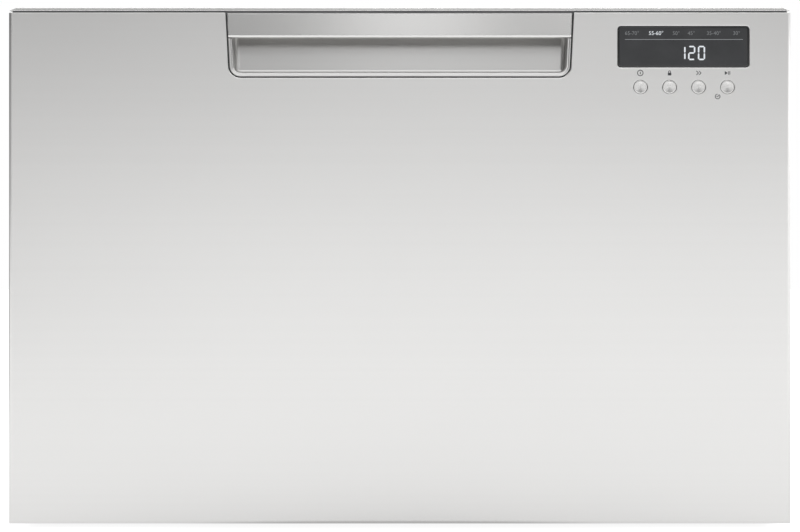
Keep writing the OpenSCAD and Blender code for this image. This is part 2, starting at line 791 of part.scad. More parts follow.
module tub() {
    color("white") difference() {
        union() {
            translate([0, 0, tub_z]) linear_extrude(rim_z - tub_z) tub_outline(0);
            translate([0, 0, rim_z - flange_t]) linear_extrude(flange_t)
                round_rect([-flange_x, flange_x], flange_y, 12);
            along_z(0, tub_mid, [sump_z, tub_z + eps], sump_r);
            // ports for the fill hose and the wiring, and the sump's outlet stub
            along_z(fill_port[0], fill_port[1], [port_z, tub_z + eps], 7);
            along_z(harness_port[0], harness_port[1], [port_z, tub_z + eps], 7);
            translate([0, tub_mid, sump_z + 14]) rotate([0, 0, spigot_a])
                along_x([sump_r - 4, sump_r + 18], 0, 0, drain_hose_r - 2);
        }
        difference() {
            translate([0, 0, tub_floor]) linear_extrude(rim_z) tub_outline(-tub_wall);
            for (x = [long_x[0], long_x[6]], y = post_y)
                along_z(x, y, [tub_floor - eps, post_top], 9);
        }
        along_z(0, tub_mid, [sump_z + tub_wall, tub_floor + 1], sump_r - tub_wall);
        along_z(0, tub_mid, [sump_z - 1, sump_z + tub_wall + 1], shaft_r + 0.5);
        translate([0, tub_mid, sump_z + 14]) rotate([0, 0, spigot_a])
            along_x([sump_r - tub_wall - 2, sump_r + 19], 0, 0, drain_hose_r - 4);
        along_z(fill_port[0], fill_port[1], [port_z - 1, tub_floor + 1], 3);
        // openings for the dispenser and the drying vent in the front wall
        box([disp_x[0] + 6, disp_x[1] - 6], [tub_y0 - 1, tub_y0 + tub_wall + 1],
            [disp_z[0] + 6, disp_z[1] - 6]);
        for (a = [-18, -9, 0, 9, 18])
            box([fan_x - 20, fan_x + 20], [tub_y0 - 1, tub_y0 + tub_wall + 1],
                [fan_z + a - 2, fan_z + a + 2]);
    }
}

module heater_plate() {
    color("silver") difference() {
        along_z(0, tub_mid, [tub_z - seat_gap - 5, tub_z - seat_gap], sump_r + 34);
        along_z(0, tub_mid, [tub_z - seat_gap - 6, tub_z], sump_r + 12);
    }
}

shaft_r = 4;
post_r = 8;
arm_reach = (tub_y1 - tub_y0) / 2 - tub_wall - arm_clear;
arm_z = 96;
plate_r = sump_r + 45;
plate_t = 2.6;
filter_xy = [44, 40];
filter_r = 22;

module filter_slots() {
    for (a = [0:12:348])
        if (abs(a - 42) > 30)
            rotate([0, 0, a]) translate([62, -1.5, -5]) cube([24, 3, 20]);
}

module filter_plate() {
    z0 = tub_floor + seat_gap;
    color("slategray") difference() {
        union() {
            along_z(0, tub_mid, [z0, z0 + plate_t], plate_r);
            translate([0, tub_mid, z0]) cylinder(h = 10, r1 = 46, r2 = 16);
            along_z(0, tub_mid, [z0, arm_z + arm_t - 3], post_r);
        }
        translate([0, tub_mid, z0]) filter_slots();
        along_z(filter_xy[0], tub_mid + filter_xy[1], [z0 - 1, z0 + 20], filter_r + 0.2);
        along_z(filter_xy[0], tub_mid + filter_xy[1], [z0 + plate_t, z0 + 20],
            filter_r + 3 + seat_gap);
        // waterway up to the spray arm
        along_z(0, tub_mid, [z0 - 1, arm_z + arm_t], 5.5);
    }
}

module drain_filter() {
    z0 = tub_floor + seat_gap;
    color("dimgray") translate([filter_xy[0], tub_mid + filter_xy[1], 0]) difference() {
        union() {
            along_z(0, 0, [sump_z + tub_wall + 6, z0 + plate_t], filter_r);
            difference() {
                along_z(0, 0, [z0 + plate_t + seat_gap / 2, z0 + plate_t + 2], filter_r + 3);
                along_z(0, 0, [z0, z0 + 10], filter_r - 3);
            }
            along_z(0, 0, [z0 + plate_t - eps, z0 + plate_t + 2], filter_r);
            box([-filter_r + 1, filter_r - 1], [-1.5, 1.5], [z0, z0 + 8]);
        }
        difference() {
            along_z(0, 0, [sump_z + tub_wall + 8, z0 + plate_t + 3], filter_r - 2);
            box([-filter_r, filter_r], [-1.5, 1.5], [z0, z0 + 9]);
        }
        for (a = [0:30:150]) rotate([0, 0, a])
            box([-filter_r - 1, filter_r + 1], [-1.5, 1.5], [sump_z + tub_wall + 12, z0 - 6]);
    }
}

// Spray arm: a hollow S-shaped blade with nozzles, closed over its post
module arm_outline(grow) {
    for (s = [0, 180]) rotate([0, 0, s]) {
        translate([0, -17 - grow]) square([arm_reach - 17, 34 + 2 * grow]);
        translate([arm_reach - 17, 0]) circle(17 + grow);
    }
    circle(30 + grow);
}

nozzle_r = 1.6;

module spray_arm() {
    color("whitesmoke") translate([0, tub_mid, 0]) difference() {
        union() {
            translate([0, 0, arm_z]) linear_extrude(arm_t) arm_outline(0);
            along_z(0, 0, [arm_z - 6, arm_z + arm_t + 5], 16);
        }
        difference() {
            translate([0, 0, arm_z + 2]) linear_extrude(arm_t - 4) arm_outline(-2);
            along_z(0, 0, [arm_z, arm_z + arm_t], 12);
        }
        along_z(0, 0, [arm_z - 7, arm_z + arm_t - 3 + seat_gap], post_r + run_gap);
        for (s = [-1, 1], i = [0:5])
            along_z(s * (50 + i * 28), s * 8, [arm_z + 3, arm_z + arm_t + 1], nozzle_r);
        for (s = [0, 180]) rotate([0, 0, s])
            along_x([10, 40], 0, arm_z + 4.5, 2);
    }
}

// Pump and motor under the sump
rotor_z = [sump_z - 22, sump_z - 5];
motor_z = sump_z - 26;

module motor_housing() {
    color("dimgray") difference() {
        along_z(0, tub_mid, [motor_z, sump_z - seat_gap], motor_r);
        along_z(0, tub_mid, [motor_z + 2, sump_z + 1], motor_r - 2.5);
        along_z(0, tub_mid, [motor_z - 1, motor_z + 3], shaft_r + run_gap);
        for (a = [0:45:315]) translate([0, tub_mid, 0]) rotate([0, 0, a])
            box([motor_r - 6, motor_r + 2], [-4, 4], [motor_z + 8, motor_z + 18]);
    }
}

module motor_stator() {
    r1 = motor_r - 2.5 - seat_gap;
    color("peru") difference() {
        along_z(0, tub_mid, [motor_z + 2 + seat_gap, rotor_z[1]], r1);
        along_z(0, tub_mid, [motor_z, rotor_z[1] + 1], 23);
        translate([0, tub_mid, 0]) for (a = [0:30:330]) rotate([0, 0, a])
            box([28, r1 - 6], [-3, 3], [motor_z, rotor_z[1] + 1]);
    }
}

module pump_rotor() {
    color("gray") translate([0, tub_mid, 0]) {
        along_z(0, 0, [motor_z + seat_gap, sump_z + 24], shaft_r);
        along_z(0, 0, rotor_z, 22);
        along_z(0, 0, [sump_z + 8, sump_z + 11], impeller_r);
        for (a = [0:60:300]) rotate([0, 0, a])
            box([0, impeller_r - 1], [-1, 1], [sump_z + 10, sump_z + 20]);
        along_z(0, 0, [sump_z + 8, sump_z + 22], 9);
    }
}

// ---------------------------------------------------------------- dispenser and fan

disp_face = tub_y0 + tub_wall + 9;
cup_x = [-62, 0];
cup_z = [disp_z[0] + 18, disp_z[0] + 38];
cup_depth = 18;
cap_x = 40;
cap_z = (disp_z[0] + disp_z[1]) / 2;
door_hinge = [disp_face + 2, cup_z[0] - 3];

module dispenser_body() {
    color("lightgray") difference() {
        union() {
            box(disp_x, [tub_y0 + tub_wall + seat_gap, disp_face], disp_z);
            box([disp_x[0] + 6.3, disp_x[1] - 6.3], [tub_y0 - 14, disp_face - 1],
                [disp_z[0] + 6.3, disp_z[1] - 6.3]);
            for (x = [cup_x[0] - 6, cup_x[1] + 3])
                along_x([x, x + 3], door_hinge[0], door_hinge[1], 3);
        }
        box(cup_x, [disp_face - cup_depth, disp_face + 1], cup_z);
        along_y(cap_x, [disp_face - 16, disp_face + 1], cap_z, 12);
        for (x = [cup_x[0] - 7, cup_x[1] + 2])
            along_x([x, x + 5], door_hinge[0], door_hinge[1], 1.2 + run_gap);
        // room for the door's knuckle to turn
        along_x([cup_x[0] - 3 + eps, cup_x[1] + 3 - eps], door_hinge[0], door_hinge[1], 3.6);
    }
}

module dispenser_door() {
    color("slategray") {
        box([cup_x[0] - 2, cup_x[1] + 2], [disp_face + seat_gap, disp_face + 2.8],
            [door_hinge[1] + 2, cup_z[1] + 2]);
        along_x([cup_x[0] - 2.5, cup_x[1] + 2.5], door_hinge[0], door_hinge[1], 2.6);
        along_x([cup_x[0] - 5.5, cup_x[1] + 5.5], door_hinge[0], door_hinge[1], 1.2);
        box([cup_x[0] + 20, cup_x[1] - 20], [disp_face + 2.7, disp_face + 4.5],
            [cup_z[1] - 5, cup_z[1] + 1]);
    }
}

module rinse_cap() {
    color("slategray") {
        along_y(cap_x, [disp_face + seat_gap, disp_face + 4], cap_z, 15);
        along_y(cap_x, [disp_face - 10, disp_face + 1], cap_z, 12 - run_gap);
        box([cap_x - 12, cap_x + 12], [disp_face + 3.9, disp_face + 7], [cap_z - 2, cap_z + 2]);
    }
}

module fan_housing() {
    y0 = tub_y0 - 18;
    color("dimgray") difference() {
        box([fan_x - 34, fan_x + 34], [y0, tub_y0 - seat_gap], [fan_z - 34, fan_z + 34]);
        along_y(fan_x, [y0 + 3, tub_y0 + 1], fan_z, fan_r + 1);
        along_y(fan_x, [y0 - 1, y0 + 4], fan_z, 2 + run_gap);
        for (a = [0:60:300]) translate([fan_x, y0, fan_z]) rotate([0, a, 0])
            box([11, 24], [-1, 4], [-4, 4]);
        // duct outlet at the bottom
        box([fan_x - 20, fan_x + 20], [y0 + 3, tub_y0 - 3], [fan_z - 35, fan_z]);
    }
}

module fan_wheel() {
    y0 = tub_y0 - 14;
    color("black") {
        along_y(fan_x, [tub_y0 - 18.5, y0 + 2], fan_z, 2);
        along_y(fan_x, [y0, y0 + 10], fan_z, 9);
        for (a = [0:45:315]) translate([fan_x, 0, fan_z]) rotate([0, a, 0])
            translate([8, y0 + 1, 0]) rotate([30, 0, 0]) cube([fan_r - 9, 8, 1.2]);
    }
}

// ---------------------------------------------------------------- lid

lid_x = x_inner - 3;
lid_y = [y_chassis + sheet_t + seat_gap + 0.5, tub_y1 + 9];
seal_z = rim_z + seat_gap + lid_travel;
lid_z = seal_z + seal_h;
screw_x = x_inner - 10.5;
lid_screw_r = 3;
nut_z = lid_z - 4;
act_z = [nut_z - lid_travel - 50, nut_z - lid_travel - 0.5];
act_x = [x_tub + 11, x_inner - seat_gap];
act_y = 34;
seal_w = 7;

module seal_ring(outer, inner, z) {
    difference() {
        translate([0, 0, z[0]]) linear_extrude(z[1] - z[0])
            round_rect([-x_tub - outer, x_tub + outer], [tub_y0 - outer, tub_y1 + outer], tub_r);
        translate([0, 0, z[0] - 1]) linear_extrude(z[1] - z[0] + 2)
            round_rect([-x_tub + inner, x_tub - inner], [tub_y0 + inner, tub_y1 - inner], tub_r - 4);
    }
}

module lid() {
    color("lightgray") difference() {
        union() {
            box([-lid_x, lid_x], lid_y, [lid_z, lid_z + lid_t]);
            // stiffening ribs on top
            for (y = [lid_y[0] + 30 : (lid_y[1] - lid_y[0] - 60) / 6 : lid_y[1] - 29])
                box([-lid_x + 16, lid_x - 16], [y - 1, y + 1], [lid_z + lid_t - eps, lid_z + lid_t + 5]);
            for (x = [-200, -100, 0, 100, 200])
                box([x - 1, x + 1], [lid_y[0] + 30, lid_y[1] - 30], [lid_z + lid_t - eps, lid_z + lid_t + 5]);
            // threaded lugs that ride on the lifting screws
            both_sides() box([x_tub + 10, lid_x], [-12, 12], [nut_z, lid_z + lid_t + 4]);
            // lip that keeps spray off the seal
            difference() {
                translate([0, 0, rim_z + lid_travel + seat_gap]) linear_extrude(lid_z - rim_z - lid_travel)
                    round_rect([-x_tub + 12, x_tub - 12], [tub_y0 + 12, tub_y1 - 12], tub_r - 10);
                translate([0, 0, rim_z]) linear_extrude(60)
                    round_rect([-x_tub + 14, x_tub - 14], [tub_y0 + 14, tub_y1 - 14], tub_r - 12);
            }
        }
        for (s = [-1, 1]) along_z(s * screw_x, 0, [nut_z - 1, lid_z + 10], lid_screw_r + run_gap);
    }
}

module lid_seal() {
    color("dimgray") seal_ring(5.5, -5.5 + seal_w, [seal_z, lid_z]);
}

module lid_actuators() {
    color("dimgray") both_sides() {
        difference() {
            box(act_x, [-act_y, act_y], act_z);
            box([act_x[0] + 2, act_x[1] - 2], [-act_y + 2, act_y - 2], [act_z[0] + 2, act_z[1] - 3]);
            along_z(screw_x, 0, [act_z[0] + 1, act_z[1] + 1], lid_screw_r + run_gap);
        }
        // gear motor
        along_z((act_x[0] + act_x[1]) / 2, 20, [act_z[0] + 2, act_z[0] + 34], 6.5);
    }
}

module lid_screw(side) {
    color("silver") translate([side * screw_x, 0, 0]) {
        along_z(0, 0, [act_z[0] + 2 + seat_gap, lid_z + lid_t + 4], lid_screw_r);
        along_z(0, 0, [act_z[0] + 10, act_z[0] + 15], 6);
    }
}

// ---------------------------------------------------------------- connections

inlet_body_r = 15;
drain_body_r = 13;
gland_body_r = 8;
inlet_thread_r = 13.2;
drain_spigot_r = 9.5;
gland_bore_r = 4.5;
drain_hose_r = 9;
fill_hose_r = 5.5;
harness_r = 4;

// Water valve with a hose thread outside and a hose stub inside
module inlet_valve() {
    color("whitesmoke") difference() {
        union() {
            along_y(inlet_x, [y_recess - 22, y_recess - sheet_t + 4], inlet_z, inlet_body_r);
            along_y(inlet_x, [y_recess, y_recess + 3], inlet_z, inlet_body_r + 4);
            along_y(inlet_x, [y_recess, y_recess + 18], inlet_z, inlet_thread_r);
            box([inlet_x - 12, inlet_x + 12], [y_recess - 24, y_recess - 2 * sheet_t - 3],
                [inlet_z, inlet_z + 26]);
            along_y(inlet_x, [y_recess - 34, y_recess - 20], inlet_z - 8, fill_hose_r - 1.5);
        }
        along_y(inlet_x, [y_recess + 2, y_recess + 19], inlet_z, inlet_thread_r - 3);
    }
}

module drain_outlet() {
    color("dimgray") difference() {
        union() {
            along_y(drain_x, [y_recess - 8, y_recess + 2], drain_z, drain_body_r);
            along_y(drain_x, [y_recess, y_recess + 3], drain_z, drain_body_r + 4);
            along_y(drain_x, [y_recess, y_recess + 32], drain_z, drain_spigot_r);
            along_y(drain_x, [y_recess - 30, y_recess], drain_z, drain_hose_r - 2);
        }
        along_y(drain_x, [y_recess - 31, y_recess + 33], drain_z, drain_hose_r - 4);
    }
}

// Cable gland for the mains lead
module cable_gland() {
    color("black") difference() {
        union() {
            along_y(cord_x, [y_recess - 12, y_recess + 2], cord_z, gland_body_r);
            along_y(cord_x, [y_recess, y_recess + 3], cord_z, gland_body_r + 4);
            along_y(cord_x, [y_recess, y_recess + 16], cord_z, gland_body_r - 1);
        }
        along_y(cord_x, [y_recess - 13, y_recess + 17], cord_z, gland_bore_r);
    }
}

module controller_box() {
    x = [foot_x - 155, foot_x - 15];
    y = [foot_y[0] + boss_r + 2, foot_y[0] + boss_r + 112];
    z = [pan_top + rib_h + seat_gap, pan_top + 38];
    color("dimgray") difference() {
        union() {
            box(x, y, z);
            for (yy = [y[0] + 20, y[1] - 20])
                box([x[0] - 10, x[1] + 10], [yy - 6, yy + 6], [z[0], z[0] + 2.5]);
        }
        box([x[0] + 2, x[1] - 2], [y[0] + 2, y[1] - 2], [z[0] + 2, z[1] - 2]);
        for (i = [0:6]) box([x[0] + 20 + i * 16, x[0] + 26 + i * 16], [y[1] - 3, y[1] + 1],
            [z[0] + 8, z[1] - 8]);
        for (xx = [x[0] - 5, x[1] + 5], yy = [y[0] + 20, y[1] - 20])
            along_z(xx, yy, [z[0] - 1, z[0] + 4], 2);
    }
}

// Routes of the drain hose, the fill hose and the wiring: each climbs steadily
// from the chassis back, round a loop on the base pan, to the tub's underside
drain_route = [[-232, 219, 34], [-232, 205, 32], [-232, 170, 26], [-232, 115, 26.4],
    [-232, 60, 26.8], [-232, 0, 27.4], [-232, -65, 28], [-232, -130, 28.6],
    [-226, -154, 30.5], [-209, -174, 33], [-187, -180, 36.5], [-165, -174, 40],
    [-148, -154, 43], [-142, -130, 45], [-142, -65, 47], [-142, 0, 49], [-142, 66, 51.5],
    [-138, 90, 54], [-128, 104, 57], [-112, 106, 59], [-97, 95, 60], [-80.2, 78.2, 60]];
fill_route = [[-150, 215, 34], [-152, 200, 30], [-160, 175, 24], [-175, 145, 24.3],
    [-192, 112, 24.7], [-206, 75, 25.2], [-212, 40, 25.7], [-212, 0, 26.3],
    [-212, -40, 26.9], [-212, -85, 27.6], [-212, -130, 28.4], [-206, -147, 30.5],
    [-187, -155, 34.5], [-168, -147, 39], [-162, -130, 42], [-162, -85, 43.5],
    [-162, -40, 45], [-162, 0, 46.5], [-162, 40, 48], [-163, 80, 50.5], [-166, 110, 53],
    [-168, 125, 57], [-168, 131, 63], [-168, 131, 70]];
harness_route = [[-78, 233.5, 35.2], [-82, 215, 31], [-94, 190, 22], [-115, 158, 22.3],
    [-140, 125, 22.7], [-162, 97, 23], [-178, 75, 23.3], [-191, 45, 23.7], [-196, 10, 24.2],
    [-196, -30, 24.7], [-196, -80, 25.4], [-196, -130, 26.5], [-187, -139, 32],
    [-178, -130, 38], [-178, -80, 40], [-178, -30, 42], [-178, 20, 44], [-180, 70, 46.5],
    [-182, 100, 50], [-184, 112, 57], [-185, 115, 64], [-185, 115, 70]];
fill_port = [-168, 131];
harness_port = [-185, 115];
port_z = 70.4;

// A tube with flat-sided rings square to its route, closed at both ends
function unit(v) = v / norm(v);
function heading(p, i) = unit(p[min(i + 1, len(p) - 1)] - p[max(i - 1, 0)]);
function across(d) = unit(cross(d, abs(d[2]) > 0.9 ? [1, 0, 0] : [0, 0, 1]));
function ring(p, i, r, n) = let (d = heading(p, i), u = across(d), v = cross(d, u))
    [for (k = [0:n - 1]) p[i] + r * (cos(360 * k / n) * u + sin(360 * k / n) * v)];

module tube(route, r, n) {
    m = len(route);
    polyhedron(
        points = concat([for (i = [0:m - 1]) each ring(route, i, r, n)],
            [route[0], route[m - 1]]),
        faces = concat(
            [for (i = [0:m - 2], k = [0:n - 1])
                [i * n + k, i * n + (k + 1) % n, (i + 1) * n + (k + 1) % n]],
            [for (i = [0:m - 2], k = [0:n - 1])
                [i * n + k, (i + 1) * n + (k + 1) % n, (i + 1) * n + k]],
            [for (k = [0:n - 1]) [m * n, (k + 1) % n, k]],
            [for (k = [0:n - 1]) [m * n + 1, (m - 1) * n + k, (m - 1) * n + (k + 1) % n]]));
}

module hose_bundle() {
    color("gray") {
        tube(drain_route, drain_hose_r, 10);
        tube(fill_route, fill_hose_r, 8);
        tube(harness_route, harness_r, 8);
    }
}

// ---------------------------------------------------------------- rack

cross_z = rack_z + 2 * wire_r + weld_gap;
ring_r = 2.6;
ring_off = ring_r + wire_r + weld_gap;
shelf_z = rack_z + 91;
cross_margin = [28, 40];       // from the rack's front and back to its outer crossings
wire_pitch = (rack_y1 - rack_y0 - cross_margin[0] - cross_margin[1]) / 6;
cross_y = [for (i = [0:6]) rack_y0 + cross_margin[0] + i * wire_pitch];
rack_mid = cross_y[3];
tine_y = [for (i = [0:7]) cross_y[1] + (i + 0.5) * wire_pitch / 2];
fixed_tine_x = long_x[5];
fold_x = fixed_tine_x - tine_h - 10;           // folded tines stop short of the fixed ones
fold_z = cross_z + 2 * wire_r + seat_gap;
clip_y = [cross_y[1], cross_y[3], cross_y[5]];

// Quarter bend of a wire in the XZ plane, centred on the origin, from -X to -Z
module quarter(r) {
    rotate([90, 0, 0]) rotate([0, 0, 180])
        rotate_extrude(angle = 90) translate([bend_r, 0]) circle(r);
}

// A wire that comes down from the top ring, crosses the rack and goes up again
module u_wire(half, z, r) {
    for (s = [0, 1]) mirror([s, 0, 0]) {
        along_z(-half, 0, [z + bend_r, rack_top], r);
        translate([-half + bend_r, 0, z + bend_r]) quarter(r);
        along_x([-half + bend_r - eps, 0.5], 0, z, r);
    }
}

module corner(r, c) {
    rotate_extrude(angle = 90) translate([c, 0]) circle(r);
}

// A ring of wire with round corners: two bent halves, butt-welded midway along its sides
module wire_ring(x, y, z, r, c) {
    mid = (y[0] + y[1]) / 2;
    out = r + 1;
    difference() {
        union() {
            for (end = y) along_x([x[0] + c, x[1] - c], end, z, r);
            for (side = x) along_y(side, [y[0] + c, y[1] - c], z, r);
            translate([x[1] - c, y[1] - c, z]) corner(r, c);
            translate([x[0] + c, y[1] - c, z]) rotate([0, 0, 90]) corner(r, c);
            translate([x[0] + c, y[0] + c, z]) rotate([0, 0, 180]) corner(r, c);
            translate([x[1] - c, y[0] + c, z]) rotate([0, 0, 270]) corner(r, c);
        }
        box([x[0] - out, x[1] + out], [mid - weld_gap / 2, mid + weld_gap / 2],
            [z - out, z + out]);
    }
}

module tine(x, y, z, h) {
    along_z(x, y, [z, z + h], wire_r - 0.2);
    translate([x, y, z + h]) sphere(wire_r + 0.4);
}

// A crossing wire, with the clips that hold the folding rows where it has them
module cross_wire(y, clips) {
    difference() {
        union() {
            translate([0, y, 0]) u_wire(rack_x, cross_z, wire_r);
            if (clips) for (s = [-1, 1])
                box([s * fold_x - 4.5, s * fold_x + 4.5], [y - 4.5, y + 4.5],
                    [cross_z - 1, fold_z + wire_r + 2.2]);
        }
        if (clips) for (s = [-1, 1])
            along_y(s * fold_x, [y - 5, y + 5], fold_z, wire_r + run_gap);
    }
}

// The rack's wires: each is one solid, welded to the others where it crosses them
module rack_frame() {
    mid_y = (rack_y0 + rack_y1) / 2;
    half_y = (rack_y1 - rack_y0) / 2;
    foot = rack_z + wire_r + weld_gap;
    color("lightgray") {
        for (i = [0:6]) cross_wire(cross_y[i], i % 2 == 1);
        for (x = long_x) translate([x, mid_y, 0]) rotate([0, 0, 90])
            u_wire(half_y, rack_z, wire_r);
        wire_ring([-rack_x - ring_off, rack_x + ring_off],
            [rack_y0 - ring_off, rack_y1 + ring_off], rack_top, ring_r, 24);
        wire_ring([-rack_x + ring_off, rack_x - ring_off],
            [rack_y0 + ring_off, rack_y1 - ring_off], shelf_z, ring_r, 18);
        for (s = [-1, 1], y = tine_y)
            tine(s * fixed_tine_x, y, foot, tine_h + fold_z - foot);
    }
}

// A row of tines on a rod that turns in the rack's clips
module tine_row(side) {
    color("slategray") {
        along_y(side * fold_x, [clip_y[0] - 8, clip_y[2] + 8], fold_z, wire_r);
        for (y = tine_y) tine(side * fold_x, y, fold_z, tine_h);
    }
}

hinge_x = rack_x - ring_off;
clip_span = 1.5 * wire_pitch;  // eyes lie midway between two crossings
shelf_drop = 1;
shelf_t = 6;

// Cup shelf with bars, hung from the rack's middle ring by two eyes
module cup_shelf() {
    z = [shelf_z - shelf_drop - shelf_t, shelf_z - shelf_drop];
    x = [hinge_x - 5 - shelf_w, hinge_x - 5];
    color("slategray") difference() {
        union() {
            difference() {
                box(x, [rack_mid - shelf_len / 2, rack_mid + shelf_len / 2], z);
                for (i = [0:9]) let (step = (shelf_len - 8) / 10,
                    y = rack_mid - shelf_len / 2 + 4 + i * step)
                    box([x[0] + 5, x[1] - 5], [y + 2.5, y + step - 2.5], [z[0] - 1, z[1] + 1]);
            }
            for (y = [rack_mid - clip_span, rack_mid + clip_span]) {
                along_y(hinge_x, [y - 7, y + 7], shelf_z, ring_r + 2.6);
                box([x[1] - 6, hinge_x - 1], [y - 7, y + 7], z);
            }
        }
        for (y = [rack_mid - clip_span, rack_mid + clip_span])
            along_y(hinge_x, [y - 8, y + 8], shelf_z, ring_r + seat_gap);
    }
}

basket_x = [-basket_w / 2, basket_w / 2];
basket_y = [rack_y1 - 9 - basket_d, rack_y1 - 9];
basket_z = [cross_z + wire_r + seat_gap, cross_z + wire_r + seat_gap + basket_h];

module cutlery_basket() {
    w = 2;
    cells = 3;
    step = (basket_x[1] - basket_x[0] - w) / cells;
    color("slategray") difference() {
        box(basket_x, basket_y, basket_z);
        for (i = [0:cells - 1])
            box([basket_x[0] + w + i * step, basket_x[0] + (i + 1) * step],
                [basket_y[0] + w, basket_y[1] - w], [basket_z[0] + w, basket_z[1] + 1]);
        for (i = [0:cells - 1], k = [0:3], j = [0:2])
            box([basket_x[0] + w + i * step + 9 + k * 16, basket_x[0] + w + i * step + 17 + k * 16],
                [basket_y[0] - 1, basket_y[1] + 1], [basket_z[0] + 12 + j * 32, basket_z[0] + 36 + j * 32]);
        for (i = [0:cells - 1], k = [0:3])
            box([basket_x[0] + w + i * step + 10 + k * 16, basket_x[0] + w + i * step + 16 + k * 16],
                [basket_y[0] + 8, basket_y[1] - 8], [basket_z[0] - 1, basket_z[0] + w + 1]);
    }
}

// ---------------------------------------------------------------- output

both_sides() side_panel();  // side_panels
top_panel();
rear_panel();
base_pan();
front_gasket();
chassis_rails();
lid_actuators();
inlet_valve();
drain_outlet();
cable_gland();
controller_box();
chassis_screws();
hose_bundle();
foot_at(-1, foot_y[0]);  // foot_front_left
foot_at(1, foot_y[0]);  // foot_front_right
foot_at(-1, foot_y[1]);  // foot_rear_left
foot_at(1, foot_y[1]);  // foot_rear_right
flood_float();
lid();
lid_seal();
lid_screw(-1);  // lid_screw_left
lid_screw(1);  // lid_screw_right
mid_rails();
outer_balls();
inner_balls();
tub();
carriers();
drawer_rails();
front_skin();
inner_panel();
insulation_pad();
top_trim();
handle_scoop();
handle_bar();
display_window();
control_board();
control_housing();
button(0);  // power_button
button(1);  // lock_button
button(2);  // next_button
button(3);  // start_button
filter_plate();
drain_filter();
heater_plate();
motor_housing();
motor_stator();
pump_rotor();
dispenser_body();
dispenser_door();
rinse_cap();
fan_housing();
fan_wheel();
rack_frame();
tine_row(-1);  // tines_left
tine_row(1);  // tines_right
mirror([1, 0, 0]) cup_shelf();  // cup_shelf_left
cup_shelf();  // cup_shelf_right
cutlery_basket();
spray_arm();
front_screws();
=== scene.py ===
"""Finishes and details a built-in dishwasher drawer on its CAD frame."""

import json
import math

import bmesh
import bpy
from bpy.props import FloatProperty, FloatVectorProperty, IntProperty, PointerProperty
from bpy.types import Operator, Panel, PropertyGroup
from mathutils import Matrix, Vector


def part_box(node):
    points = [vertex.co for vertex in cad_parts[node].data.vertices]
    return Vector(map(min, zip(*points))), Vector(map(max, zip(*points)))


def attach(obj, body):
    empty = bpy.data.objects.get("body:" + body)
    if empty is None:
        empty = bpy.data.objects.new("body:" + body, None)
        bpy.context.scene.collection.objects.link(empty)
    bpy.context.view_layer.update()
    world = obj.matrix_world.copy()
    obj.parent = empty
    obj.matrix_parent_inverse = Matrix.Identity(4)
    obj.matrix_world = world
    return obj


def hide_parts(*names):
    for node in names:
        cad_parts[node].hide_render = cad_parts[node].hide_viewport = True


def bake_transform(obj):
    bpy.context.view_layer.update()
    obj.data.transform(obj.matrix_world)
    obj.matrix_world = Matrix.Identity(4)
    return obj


bl_info = {
    "name": "Dishwasher Drawer",
    "version": (1, 0, 0),
    "blender": (4, 5, 0),
    "location": "3D View > Sidebar > Dishwasher",
    "description": "Finishes and details a dishwasher drawer on its CAD frame",
    "category": "Object",
}

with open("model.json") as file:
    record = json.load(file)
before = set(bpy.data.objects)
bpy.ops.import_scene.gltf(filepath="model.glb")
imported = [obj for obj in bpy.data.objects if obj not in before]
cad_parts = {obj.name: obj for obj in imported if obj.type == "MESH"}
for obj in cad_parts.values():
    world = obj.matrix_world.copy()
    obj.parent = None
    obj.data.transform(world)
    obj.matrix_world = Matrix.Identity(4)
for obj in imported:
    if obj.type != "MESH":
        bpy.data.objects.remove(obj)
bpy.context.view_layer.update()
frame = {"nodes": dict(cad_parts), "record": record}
NODES = frame["nodes"]
SLOT_OF = {s["node"]: s["material_slot"] for s in frame["record"]["subparts"]}
BODY_OF = {n: body for body, held in frame["record"]["behaviour"]["bodies"].items() for n in held}

FACE_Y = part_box("front_skin")[0].y
SKIN_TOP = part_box("front_skin")[1].z
PRINT_T = 0.00004  # thickness of printed marks and lit segments


# ---------------------------------------------------------------- settings


class StageSettings(PropertyGroup):
    """Camera, floor and lamps"""

    camera_y: FloatProperty(
        name="Camera Y", description="Place of the camera in front", default=-1.6865, unit="LENGTH"
    )
    camera_z: FloatProperty(
        name="Camera Height", description="Height of the lens", default=0.20345, unit="LENGTH"
    )
    lens: FloatProperty(
        name="Lens", description="Focal length in millimetres",
        default=82.3, subtype="DISTANCE_CAMERA",
    )
    floor_grey: FloatProperty(
        name="Floor Grey", description="Share of the floor that takes shadow",
        default=0.3, min=0, max=1,
    )
    key_power: FloatProperty(
        name="Key Power", description="Power of the large lamp", default=28, unit="POWER"
    )
    fill_power: FloatProperty(
        name="Fill Power", description="Power of the side lamp", default=12, unit="POWER"
    )
    top_power: FloatProperty(
        name="Top Power", description="Power of the lamp overhead", default=22, unit="POWER"
    )
    bar_power: FloatProperty(
        name="Bar Power", description="Power of the small lamp that the grip bar mirrors",
        default=0.24, unit="POWER",
    )


